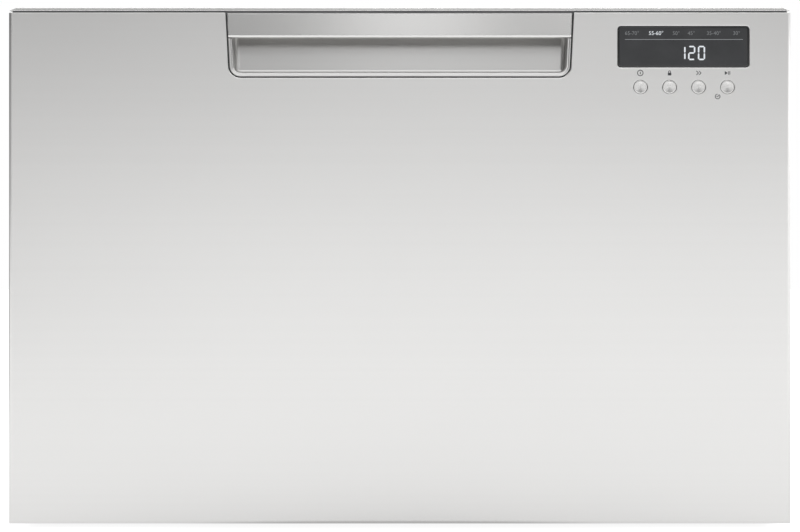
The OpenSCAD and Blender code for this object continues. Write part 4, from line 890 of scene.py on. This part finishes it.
class DISHWASHER_OT_stage(Operator):
    """Makes the camera, the white floor, the world and the lamps"""

    bl_idname = "dishwasher.stage"
    bl_label = "Stage"

    CAMERA_X = 0.00026  # the photo's centre is this far right of the front's
    # Levels as (place, level) stops: the paper outwards from the object as metal sees it, with
    # painted shadow close to the object; the world's sky from the horizon up, and across it from the
    # left to the right
    PAPER_PAINTED_SHADOW = ((0.30, 0.5), (0.33, 0.75), (0.5, 0.92), (1.0, 1.05))
    RISE = (
        (0, 1.42), (0.05, 1.05), (0.1, 0.42), (0.18, 0.2),
        (0.33, 0.35), (0.43, 0.42), (0.56, 1.2), (0.68, 1.4),
    )
    SIDE = (
        (0, 0.36), (0.2, 0.4), (0.36, 0.99), (0.5, 1.0), (0.64, 0.96), (0.8, 1.25), (1, 1.9),
    )

    def execute(self, context):
        look = context.scene.dishwasher_stage
        camera = bpy.data.cameras.new("camera")
        camera.lens = look.lens
        camera.sensor_width = 36
        camera.clip_start, camera.clip_end = 0.05, 60
        holder = bpy.data.objects.new("camera", camera)
        holder.location = (self.CAMERA_X, look.camera_y, look.camera_z)
        holder.rotation_euler = (math.pi / 2, 0, 0)
        context.scene.collection.objects.link(holder)
        context.scene.camera = holder

        bm = bmesh.new()
        bmesh.ops.create_grid(bm, x_segments=8, y_segments=8, size=14)
        floor = new_piece("floor", bm, self.floor_finish(look.floor_grey), None)
        self.world(context)
        self.lamp("key_lamp", (1.5, -2.3, 2.3), 2.0, 1.6, look.key_power, mirrored=False)
        self.lamp("fill_lamp", (-2.4, -1.9, 1.3), 1.4, 1.6, look.fill_power, mirrored=False)
        self.lamp("top_lamp", (0.2, 0.3, 2.6), 1.8, 1.8, look.top_power)
        self.lamp("bar_lamp", (0.02, -1.95, 0.93), 0.24, 0.45, look.bar_power)
        self.lamp("bar_side_lamp", (0.42, -1.9, 0.93), 0.2, 0.45, look.bar_power * 0.7)
        context.scene.view_settings.view_transform = "Standard"
        return {"FINISHED"}

    def floor_finish(self, grey):
        """White paper: it keeps the shadow, and metal sees it with a painted shadow, darker close to
        the object, and painted shade far to the left
        """
        material = bpy.data.materials.new("white floor")
        material.use_nodes = True
        tree = material.node_tree
        tree.nodes.clear()
        place = add_node(tree, "TexCoord").outputs["Object"]
        reach = add_node(tree, "VectorMath", place, operation="LENGTH").outputs["Value"]
        across = add_node(tree, "SeparateXYZ", place).outputs["X"]
        # painted shadow: the paper that metal sees grows darker close to the object
        glow = levels(tree, reach, 0, 1, self.PAPER_PAINTED_SHADOW)
        # painted shade: the paper that metal sees is darker far to the left
        paper = add_node(tree, "Emission", glow, shade_range(tree, across, 0.3, 1.0, -1.7, -1.0))
        bounce = add_node(tree, "BsdfDiffuse", (0.75,) * 3)
        matt = add_node(tree, "BsdfDiffuse", (grey,) * 3)
        shaded = add_node(tree, "AddShader", matt, add_node(tree, "Emission", Strength=0.92))
        ray = add_node(tree, "LightPath").outputs
        reflected = math_node(tree, "MAXIMUM", ray["Is Glossy Ray"], ray["Is Transmission Ray"])
        mirrored = add_node(tree, "MixShader", reflected, bounce, paper)
        seen = add_node(tree, "MixShader", ray["Is Camera Ray"], mirrored, shaded)
        add_node(tree, "OutputMaterial", seen)
        return material

    def world(self, context):
        """A studio that is light overhead and at the right, and darker at the left"""
        world = bpy.data.worlds.new("studio")
        context.scene.world = world
        world.use_nodes = True
        tree = world.node_tree
        tree.nodes.clear()
        way = add_node(tree, "SeparateXYZ", add_node(tree, "TexCoord").outputs["Generated"])
        rise = levels(tree, way.outputs["Z"], 0, 1, self.RISE)
        side = levels(tree, way.outputs["X"], -1, 1, self.SIDE)
        sky = add_node(tree, "Background", rise, side)
        plain = add_node(tree, "Background", (1, 1, 1), 1.0)
        ray = add_node(tree, "LightPath").outputs["Is Camera Ray"]
        add_node(tree, "OutputWorld", add_node(tree, "MixShader", ray, sky, plain))

    def lamp(self, name, place, width, height, power, mirrored=True):
        """A rectangular lamp that looks at the object"""
        light = bpy.data.lights.new(name, "AREA")
        light.shape = "RECTANGLE"
        light.size, light.size_y = width, height
        light.energy = power
        holder = bpy.data.objects.new(name, light)
        holder.location = place
        holder.visible_glossy = mirrored
        aim = Vector((0, 0, 0.2)) - Vector(place)
        holder.rotation_euler = aim.to_track_quat("-Z", "Y").to_euler()
        bpy.context.scene.collection.objects.link(holder)


class DISHWASHER_OT_front(Operator):
    """Finishes the steel skin, the trim and the grip bar, and models the finger scoop"""

    bl_idname = "dishwasher.front"
    bl_label = "Front"

    ALONG_X = (2.0, 2400.0, 2400.0)  # the grain's lines run from side to side
    BAR_FACE = FACE_Y + 0.0022  # what lies in front of this belongs to the bar's front
    CHAMFER_TURN = math.radians(9)

    def execute(self, context):
        look = context.scene.dishwasher_front
        gloss = look.steel_roughness
        FINISHES["front_skin"] = brushed_steel("brushed skin", look.steel, gloss, self.ALONG_X)
        FINISHES["top_trim"] = brushed_steel(
            "brushed trim", tone(look.steel, 1.02), gloss * 0.8, self.ALONG_X
        )
        FINISHES["handle_bar"] = brushed_steel(
            "brushed bar", look.steel, look.bar_roughness, self.ALONG_X, edge_r=0.0008
        )
        self.skin(look)
        self.bar(look)
        self.trim_shade_seal()
        self.scoop(look)
        self.groove_shade_seal(look)
        return {"FINISHED"}

    def skin(self, look):
        """The sheet of the front, with the cut edges of its openings rolled over"""
        bm = merged_copy("front_skin")
        window_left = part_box("display_window")[0].x - 0.002
        button_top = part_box("power_button")[1].z + 0.002
        cuts = [
            e
            for e in bm.edges
            if all(abs(v.co.y - FACE_Y) < 1e-6 and v.co.z < SKIN_TOP - 1e-4 for v in e.verts)
            and any(abs(f.normal.y) < 0.1 for f in e.link_faces)
        ]
        grip = [e for e in cuts if max(v.co.x for v in e.verts) < look.grip_width / 2 + 0.001]
        holes = [e for e in cuts if min(v.co.x for v in e.verts) > window_left]
        window = [e for e in holes if min(v.co.z for v in e.verts) > button_top]
        buttons = [e for e in holes if max(v.co.z for v in e.verts) < button_top]
        foot = {v for e in grip for v in e.verts if v.co.z < SKIN_TOP - look.grip_drop / 2}
        drop = SKIN_TOP - look.grip_drop - min(v.co.z for v in foot)
        for vert in bm.verts:
            if any((vert.co.xz - v.co.xz).length < 1e-5 for v in foot):
                vert.co.z += drop
        round_off(bm, grip, look.cut_radius)
        for edges in (window, buttons):
            round_off(bm, [e for e in edges if e.is_valid], look.hole_radius)
        close_up(bm)
        steady_normals(refined("front_skin", "drawer_skin", bm, FINISHES["front_skin"]))

    def bar(self, look):
        """The grip bar, with its upper front edge and its ends rounded"""
        bm = merged_copy("handle_bar")
        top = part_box("handle_bar")[1].z
        bmesh.ops.bisect_plane(
            bm,
            geom=[*bm.verts, *bm.edges, *bm.faces],
            plane_co=(0, 0, top - look.bar_chamfer),
            plane_no=(0, 0, 1),
        )
        for vert in bm.verts:
            if vert.co.z > top - 1e-5 and vert.co.y < self.BAR_FACE:
                vert.co.y += look.bar_chamfer * math.tan(self.CHAMFER_TURN)
        ends = look.grip_width * 0.4
        edges = [
            e
            for e in bm.edges
            if len(e.link_faces) == 2
            and e.calc_face_angle(0) > math.radians(30)
            and max(v.co.y for v in e.verts) < self.BAR_FACE
            and (min(v.co.z for v in e.verts) > top - 1e-4 or abs(e.verts[0].co.x) > ends)
        ]
        round_off(bm, edges, 0.00015, 3)
        close_up(bm)
        steady_normals(refined("handle_bar", "grip_bar", bm, FINISHES["handle_bar"]))

    def trim_shade_seal(self):
        """The dark bead that closes the gap under the trim; its dark colour paints the shade in that
        gap
        """
        low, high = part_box("front_skin")
        y, end = FACE_Y + 0.0011, 0.003
        bm = bmesh.new()
        block(bm, (low.x + end, y, high.z + 0.0001), (high.x - end, y + 0.0014, high.z + 0.0016))
        round_off(bm, edges_along(bm, 0), 0.0003, 3)
        close_up(bm)
        # painted shade: a dark rubber bead where the gap under the trim is in shade
        dark = rubber("trim shade seal", (0.1, 0.1, 0.102))
        new_piece("trim_shade_seal", bm, dark, "drawer")

    def outline(self, look, inset, tops):
        """The grip opening drawn in by inset, as (place, turn) pairs from one top end to the other

        turn is 0 on the sides and a quarter circle at the bottom, and inset is a function of it.
        """
        corner, lean = look.grip_corner, look.grip_lean
        centre_z = SKIN_TOP - look.grip_drop + corner
        reach = corner + math.sin(lean) * (SKIN_TOP - centre_z)
        centre_x = look.grip_width / 2 - reach / math.cos(lean)
        half = []
        steps = 10
        for z in tops:
            side = (corner - inset(0) + math.sin(lean) * (z - centre_z)) / math.cos(lean)
            half.append((centre_x + side, z, 0.0))
        for i in range(steps + 1):
            turn = lean + (math.pi / 2 - lean) * i / steps
            radius = corner - inset(turn)
            x, z = centre_x + radius * math.cos(turn), centre_z - radius * math.sin(turn)
            half.append((x, z, turn))
        return [(-x, z, turn) for x, z, turn in half] + half[::-1]

    def loft(self, bm, rows):
        """Faces between rows of equally many points"""
        made = [[bm.verts.new(point) for point in row] for row in rows]
        for near, far in zip(made, made[1:]):
            for k in range(len(near) - 1):
                bm.faces.new((near[k], near[k + 1], far[k + 1], far[k]))
        return made

    def scoop(self, look):
        """The pressed pan behind the grip bar: flange, double lip, walls and a back that leans"""
        # painted shade: the pan's steel is the skin's steel made darker, for the shade in the recess
        steel = brushed_steel(
            "pressed scoop, shaded", tone(look.steel, 0.83), look.steel_roughness, (2.0, 900.0, 2400.0)
        )
        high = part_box("handle_scoop")[1]
        bar_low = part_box("handle_bar")[0].z
        under_bar = FACE_Y + 0.0042  # the pan passes behind the bar at this depth
        tops = (high.z - 0.0033, bar_low - 0.0003, bar_low - 0.0006)
        back_y = high.y - 0.0016
        start = look.groove
        lip = (  # distance from the groove, and depth behind the face
            (0, 0.0034), (0, 0.0008), (0.00015, 0.00045), (0.0005, 0.0003), (0.001, 0.0003),
            (0.0013, 0.0005), (0.0016, 0.00075), (0.0019, 0.0005), (0.0022, 0.0003),
            (0.0025, 0.00035), (0.0029, 0.0007), (0.0031, 0.0014),
        )

        def back_at(z):
            return back_y - math.tan(look.scoop_tilt) * (high.z - z)

        def fillet(turn):
            down = math.sin(turn) ** 2
            corner = 0.001 * math.sin(2 * turn) ** 2
            return look.scoop_side * (1 - down) + look.scoop_foot * down - corner

        rows = []
        for inset, depth in ((-0.005 - start, 0.0034),) + lip:
            line = self.outline(look, lambda t: start + inset, tops)
            rows.append([(x, FACE_Y + depth, z) for x, z, _ in line])
        wall = start + 0.0034
        steps = 8
        for i in range(steps + 1):
            turn_in = math.pi / 2 * i / steps
            line = self.outline(look, lambda t: wall + fillet(t) * (1 - math.cos(turn_in)), tops)
            lift = 1 - math.sin(turn_in)
            rows.append([(x, back_at(z) - fillet(turn) * lift, z) for x, z, turn in line])
        edge_z = bar_low - 0.00045
        rows = [[(x, max(y, under_bar) if z > edge_z else y, z) for x, y, z in row] for row in rows]
        bm = bmesh.new()
        made = self.loft(bm, rows)
        bm.faces.new(made[-1])
        bmesh.ops.recalc_face_normals(bm, faces=bm.faces)
        if sum(f.normal.y * f.calc_area() for f in bm.faces) > 0:
            bmesh.ops.reverse_faces(bm, faces=bm.faces)
        pan = refined("handle_scoop", "finger_scoop", bm, steel, 50)
        sheet = pan.modifiers.new("wall", "SOLIDIFY")
        sheet.thickness = 0.0008
        sheet.offset = -1
        steady_normals(pan)

    def groove_shade_seal(self, look):
        """Dark seal at the bottom of the groove between skin and scoop: a dark rubber strip that
        paints the groove's shade
        """
        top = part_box("handle_scoop")[1].z - 0.0008
        near, far, clear = 0.0008, 0.0032, 0.00005
        low, high = clear, look.groove - clear
        rows = []
        for inset, depth in ((low, far), (low, near), (high, near), (high, far), (low, far)):
            line = self.outline(look, lambda t: inset, (top,))
            rows.append([(x, FACE_Y + depth, z) for x, z, _ in line])
        bm = bmesh.new()
        self.loft(bm, rows)
        close_up(bm)
        # painted shade: a dark strip in the groove, where there is shade
        dark = rubber("groove shade seal", (0.02, 0.02, 0.021))
        new_piece("groove_shade_seal", bm, dark, "drawer")


class DISHWASHER_OT_controls(Operator):
    """Makes the display window with its marks, the push buttons and the printed signs"""

    bl_idname = "dishwasher.controls"
    bl_label = "Controls"

    BUTTONS = ("power_button", "lock_button", "next_button", "start_button")
    TEXT_Z, LINE_Z, DIGIT_Z = 0.3816, 0.3769, 0.36655

    def execute(self, context):
        look = context.scene.dishwasher_controls
        self.window(look)
        self.marks(look)
        self.buttons(look, context.scene.dishwasher_front.steel)
        self.signs(look)
        return {"FINISHED"}

    def window(self, look):
        """The pane of smoked glass, with a darker rim"""
        bm = bmesh.new()
        rounded_block(bm, *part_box("display_window"), 0.0022, 0.00025, 6)
        front = max((f for f in bm.faces if f.normal.y < -0.99), key=lambda f: f.calc_area())
        rim = bmesh.ops.inset_region(bm, faces=[front], thickness=0.0011, depth=0)
        for face in rim["faces"]:
            face.material_index = 1
        glass = display_glass("display glass", look.glass)
        edge = display_glass("display rim", tone(look.glass, 0.35))
        refined("display_window", "display_glass", bm, [glass, edge], 30)

    def marks(self, look):
        """Large digits, a thin line and a row of temperatures: plain numbers only"""
        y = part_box("display_window")[0].y - PRINT_T
        text_y = y + PRINT_T / 2
        bright = lit_mark("lit marks", look.lit, look.lit_strength)
        dim = lit_mark("dim marks", look.lit, look.dim_strength)
        line = lit_mark("thin line", look.lit, look.dim_strength * 1.9)

        bm = bmesh.new()
        for digit, x in (("1", 0.21615), ("2", 0.2236), ("0", 0.2311)):
            self.digit(bm, digit, (x, y, self.DIGIT_Z), look.digit_h)
        write_text(bm, "55-60°", (0.1963, text_y, self.TEXT_Z), 0.003)
        self.mark_piece("lit_digits", bm, bright)

        bm = bmesh.new()
        for words, x in (
            ("65-70°", 0.1779),
            ("50°", 0.2117),
            ("45°", 0.2233),
            ("35-40°", 0.2405),
            ("30°", 0.2579),
        ):
            write_text(bm, words, (x, text_y, self.TEXT_Z), 0.0029)
        self.mark_piece("dim_temperatures", bm, dim)

        bm = bmesh.new()
        flat_bar(bm, (0.1725, y, self.LINE_Z), (0.2628, y, self.LINE_Z), 0.00035)
        self.mark_piece("display_line", bm, line)

    def mark_piece(self, name, bm, material, node="display_window"):
        """A print on the face of a node, on the drawer's body; node is not used"""
        close_up(bm)
        new_piece(name, bm, material, "drawer", 30)

    def digit(self, bm, figure, centre, height):
        """A seven-segment digit of pointed bars"""
        lit = {"0": "abcdef", "1": "bc", "2": "abged"}[figure]
        thick, gap = height * 0.105, height * 0.011
        h, w = (height - thick) / 2, height * 0.2
        ends = {
            "a": ((-w, h), (w, h)),
            "b": ((w, 0), (w, h)),
            "c": ((w, -h), (w, 0)),
            "d": ((-w, -h), (w, -h)),
            "e": ((-w, -h), (-w, 0)),
            "f": ((-w, 0), (-w, h)),
            "g": ((-w, 0), (w, 0)),
        }
        middle = Vector(centre)
        for name in lit:
            start, end = (middle + Vector((x, 0, z)) for x, z in ends[name])
            run = (end - start).normalized()
            side = Vector((-run.z, 0, run.x)) * thick / 2
            slant = run * thick / 2
            near, far = start + run * gap, end - run * gap
            upper = [near, near + slant + side, far - slant + side]
            flat_shape(bm, upper + [far, far - slant - side, near + slant - side])

    def buttons(self, look, steel):
        """The button caps: a dished face, a rounded edge and a flange behind the skin"""
        cap_steel = spun_steel("spun cap", tone(steel, 1.02), 0.22)
        for name in self.BUTTONS:
            low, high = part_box(name)
            centre = Vector(((low.x + high.x) / 2, low.y, (low.z + high.z) / 2))
            flange, depth = (high.x - low.x) / 2, high.y - low.y
            cap_r = flange - 0.0013
            stem_r = 0.0025
            profile = [
                (0, look.cap_dish),
                (cap_r * 0.45, look.cap_dish * 0.8),
                (cap_r * 0.78, look.cap_dish * 0.25),
                (cap_r * 0.88, 0.00001),
                (cap_r * 0.94, 0.00003),
                (cap_r * 0.985, 0.00022),
                (cap_r, 0.0006),
                (cap_r, 0.006),
                (flange, 0.0062),
                (flange, 0.0074),
                (stem_r, 0.0076),
                (stem_r, depth),
                (0, depth),
            ]
            bm = bmesh.new()
            turned(bm, profile, centre, 72)
            self.lathe_map(bm, centre)
            refined(name, name + "_cap", bm, cap_steel, 32)

    def lathe_map(self, bm, centre):
        """A UV map whose U runs round the axis and whose V runs outwards"""
        layer = bm.loops.layers.uv.new("lathe")
        for face in bm.faces:
            middle = face.calc_center_median() - centre
            base = math.atan2(middle.z, middle.x)
            for loop in face.loops:
                spot = loop.vert.co - centre
                angle = math.atan2(spot.z, spot.x) if math.hypot(spot.x, spot.z) > 1e-6 else base
                while angle - base > math.pi:
                    angle -= 2 * math.pi
                while angle - base < -math.pi:
                    angle += 2 * math.pi
                loop[layer].uv = (angle / (2 * math.pi), math.hypot(spot.x, spot.z) / 0.01)

    def signs(self, look):
        """Printed signs over the buttons: power, lock, next, start, and a clock under them"""
        y = FACE_Y - PRINT_T
        r = look.sign_r
        t = r * 0.28
        z = 0.3512
        power_x, lock_x, next_x, start_x = (sum(c.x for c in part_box(n)) / 2 for n in self.BUTTONS)
        bm = bmesh.new()

        x = power_x - 0.0002
        flat_ring(bm, (x, y, z), r * 1.1, r * 1.1 - t)
        flat_bar(bm, (x, y, z - r * 0.42), (x, y, z + r * 0.42), t)

        x = lock_x
        low, high = (x - r * 0.6, y, z - r * 0.85), (x + r * 0.6, y + PRINT_T, z + r * 0.12)
        rounded_block(bm, low, high, r * 0.15, 0, 3)
        hoop = r * 0.46
        flat_ring(bm, (x, y, z + r * 0.4), hoop, hoop - t * 0.8, -math.pi / 2, math.pi, 20)
        for side in (-1, 1):
            edge = x + side * (hoop - t * 0.4)
            flat_bar(bm, (edge, y, z + r * 0.05), (edge, y, z + r * 0.41), t * 0.8)

        for shift in (-r * 0.75, r * 0.15):
            tail, tip = next_x + shift, (next_x + shift + r * 0.75, y, z)
            for side in (-1, 1):
                flat_bar(bm, (tail, y, z + side * r * 0.68), tip, t * 0.95)

        x = start_x
        left = x - r * 0.95
        flat_shape(bm, [(left, y, z + r * 0.66), (left, y, z - r * 0.66), (x + r * 0.1, y, z)])
        for shift in (0.38, 0.8):
            bar_x = x + r * shift
            flat_bar(bm, (bar_x, y, z - r * 0.6), (bar_x, y, z + r * 0.6), t * 0.8)

        x, z = 0.2434, 0.3332
        dial = r * 0.94
        flat_ring(bm, (x, y, z), dial, dial - t * 0.9, math.radians(58), math.radians(300))
        flat_bar(bm, (x, y, z - t * 0.2), (x + r * 0.62, y, z + r * 0.7), t * 0.9)
        flat_bar(bm, (x - r * 0.4, y, z + r * 0.15), (x + t * 0.2, y, z - t * 0.3), t * 0.9)
        self.mark_piece("printed_signs", bm, printed_ink("printed signs", look.ink), "front_skin")


class DISHWASHER_OT_seals(Operator):
    """Models the lid's seal, the foam gasket round the opening and the damping pad"""

    bl_idname = "dishwasher.seals"
    bl_label = "Seals"

    def execute(self, context):
        look = context.scene.dishwasher_cabinet
        foam = rubber("gasket foam", tone(look.rubber, 1.3), 0.9, 500.0, 0.0003)
        for node, name, material, radius, segments in (
            ("lid_seal", "lid_seal_profile", rubber("seal rubber", look.rubber), 0.0018, 5),
            ("front_gasket", "gasket_strips", foam, 0.0006, 4),
            ("insulation_pad", "damping_pad", felt_pad("damping pad"), 0.0008, 3),
        ):
            bm = merged_copy(node)
            sharp = [
                e
                for e in bm.edges
                if len(e.link_faces) == 2 and e.calc_face_angle(0) > math.radians(25)
            ]
            round_off(bm, sharp, radius, segments)
            bmesh.ops.recalc_face_normals(bm, faces=bm.faces)
            refined(node, name, bm, material)
        return {"FINISHED"}


class DISHWASHER_OT_hoses(Operator):
    """Lays the drain hose, the fill hose and the wiring between chassis and drawer"""

    bl_idname = "dishwasher.hoses"
    bl_label = "Hoses"

    DRAIN = [
        (-232, 219, 34), (-232, 205, 32), (-232, 170, 26), (-232, 115, 26.4), (-232, 60, 26.8),
        (-232, 0, 27.4), (-232, -65, 28), (-232, -130, 28.6), (-226, -154, 30.5), (-209, -174, 33),
        (-187, -180, 36.5), (-165, -174, 40), (-148, -154, 43), (-142, -130, 45), (-142, -65, 47),
        (-142, 0, 49), (-142, 66, 51.5), (-138, 90, 54), (-128, 104, 57), (-112, 106, 59),
        (-97, 95, 60), (-80.2, 78.2, 60),
    ]
    FILL = [
        (-150, 215, 34), (-152, 200, 30), (-160, 175, 24), (-175, 145, 24.3), (-192, 112, 24.7),
        (-206, 75, 25.2), (-212, 40, 25.7), (-212, 0, 26.3), (-212, -40, 26.9), (-212, -85, 27.6),
        (-212, -130, 28.4), (-206, -147, 30.5), (-187, -155, 34.5), (-168, -147, 39),
        (-162, -130, 42), (-162, -85, 43.5), (-162, -40, 45), (-162, 0, 46.5), (-162, 40, 48),
        (-163, 80, 50.5), (-166, 110, 53), (-168, 125, 57), (-168, 131, 63), (-168, 131, 70),
    ]
    WIRING = [
        (-78, 233.5, 35.2), (-82, 215, 31), (-94, 190, 22), (-115, 158, 22.3), (-140, 125, 22.7),
        (-162, 97, 23), (-178, 75, 23.3), (-191, 45, 23.7), (-196, 10, 24.2), (-196, -30, 24.7),
        (-196, -80, 25.4), (-196, -130, 26.5), (-187, -139, 32), (-178, -130, 38), (-178, -80, 40),
        (-178, -30, 42), (-178, 20, 44), (-180, 70, 46.5), (-182, 100, 50), (-184, 112, 57),
        (-185, 115, 64), (-185, 115, 70),
    ]

    def execute(self, context):
        look = context.scene.dishwasher_hoses
        laid = (
            ("drain_hose", self.DRAIN, look.drain_d, (-0.229, 0, 0), (-0.144, 0, 0), "stiff",
             ringed_hose("drain hose", (0.3, 0.31, 0.32), look.ring_pitch, 0.0006)),
            ("fill_hose", self.FILL, look.fill_d, (0, 0, 0.0345), (0, 0, 0.0425), "medium",
             ringed_hose("fill hose", (0.1, 0.1, 0.105), look.ring_pitch * 0.6, 0.0002, 0.45, True)),
            ("wiring_loom", self.WIRING, look.wiring_d, (0, 0, 0.0355), (0, 0, 0.0405), "medium",
             ringed_hose("wiring loom", (0.035, 0.035, 0.04), look.ring_pitch * 0.7, 0.0004, 0.4)),
        )
        for name, route, diameter, start, end, stiffness, material in laid:
            metres = [tuple(c / 1000 for c in p) for p in route]
            piece, path, length = hose(name, metres, diameter, look.sides, material)
            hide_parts("hose_bundle")
            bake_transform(piece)
        return {"FINISHED"}


class DISHWASHER_OT_cabinet(Operator):
    """Finishes the chassis, the runners, the tub, the rack and everything that is carried over"""

    bl_idname = "dishwasher.cabinet"
    bl_label = "Cabinet and Drawer"

    def execute(self, context):
        look = context.scene.dishwasher_cabinet
        steel = context.scene.dishwasher_front.steel
        grey = look.grey_plastic
        stainless = brushed_steel(
            "drawn stainless", tone(steel, 0.8), 0.24, (300, 300, 40), depth=0.000002
        )
        FINISHES.update(
            galvanised_sheet=galvanised("galvanised sheet", look.zinc, look.spangle),
            runner_steel=brushed_steel("runner steel", (0.6, 0.61, 0.63), 0.3, (900, 3, 900)),
            screws=brushed_steel("zinc screws", (0.66, 0.67, 0.68), 0.28, (500, 500, 500)),
            dark_plastic=moulded("dark plastic", look.dark_plastic, 0.5),
            white_plastic=moulded("white plastic", look.white_plastic, 0.38, dusty=0.05),
            lid_plastic=moulded("lid plastic", tone(grey, 1.5), 0.42, grain=900.0),
            grey_trim_plastic=moulded("grey plastic", grey, 0.4),
            board=circuit_board("circuit board"),
            stainless=stainless,
            tub=stainless,
            motor_core=wound_core("motor windings"),
            coated_wire=coated_wire("coated wire", (0.3, 0.32, 0.34)),
        )
        dress_nodes()
        return {"FINISHED"}


class DISHWASHER_PT_panel(Panel):
    """Lists the steps of the dishwasher drawer"""

    bl_idname = "DISHWASHER_PT_panel"
    bl_label = "Dishwasher Drawer"
    bl_space_type = "VIEW_3D"
    bl_region_type = "UI"
    bl_category = "Dishwasher"

    def draw(self, context):
        layout = self.layout
        scene = context.scene
        for operator, group in (
            ("dishwasher.stage", scene.dishwasher_stage),
            ("dishwasher.front", scene.dishwasher_front),
            ("dishwasher.controls", scene.dishwasher_controls),
            ("dishwasher.seals", scene.dishwasher_cabinet),
            ("dishwasher.hoses", scene.dishwasher_hoses),
        ):
            box = layout.box()
            box.operator(operator)
            for name in group.bl_rna.properties.keys():
                if name not in {"rna_type", "name"}:
                    box.prop(group, name)
        layout.operator("dishwasher.cabinet")


SETTINGS = {
    "dishwasher_stage": StageSettings,
    "dishwasher_front": FrontSettings,
    "dishwasher_controls": ControlSettings,
    "dishwasher_cabinet": CabinetSettings,
    "dishwasher_hoses": HoseSettings,
}
CLASSES = (
    *SETTINGS.values(),
    DISHWASHER_OT_stage,
    DISHWASHER_OT_front,
    DISHWASHER_OT_controls,
    DISHWASHER_OT_seals,
    DISHWASHER_OT_hoses,
    DISHWASHER_OT_cabinet,
    DISHWASHER_PT_panel,
)


def register():
    for cls in CLASSES:
        bpy.utils.register_class(cls)
    for name, group in SETTINGS.items():
        setattr(bpy.types.Scene, name, PointerProperty(type=group))


def unregister():
    for name in SETTINGS:
        delattr(bpy.types.Scene, name)
    for cls in reversed(CLASSES):
        bpy.utils.unregister_class(cls)


def main():
    register()
    bpy.ops.dishwasher.stage()
    bpy.ops.dishwasher.hoses()
    bpy.ops.dishwasher.front()
    bpy.ops.dishwasher.controls()
    bpy.ops.dishwasher.seals()
    bpy.ops.dishwasher.cabinet()


if __name__ == "__main__":
    main()
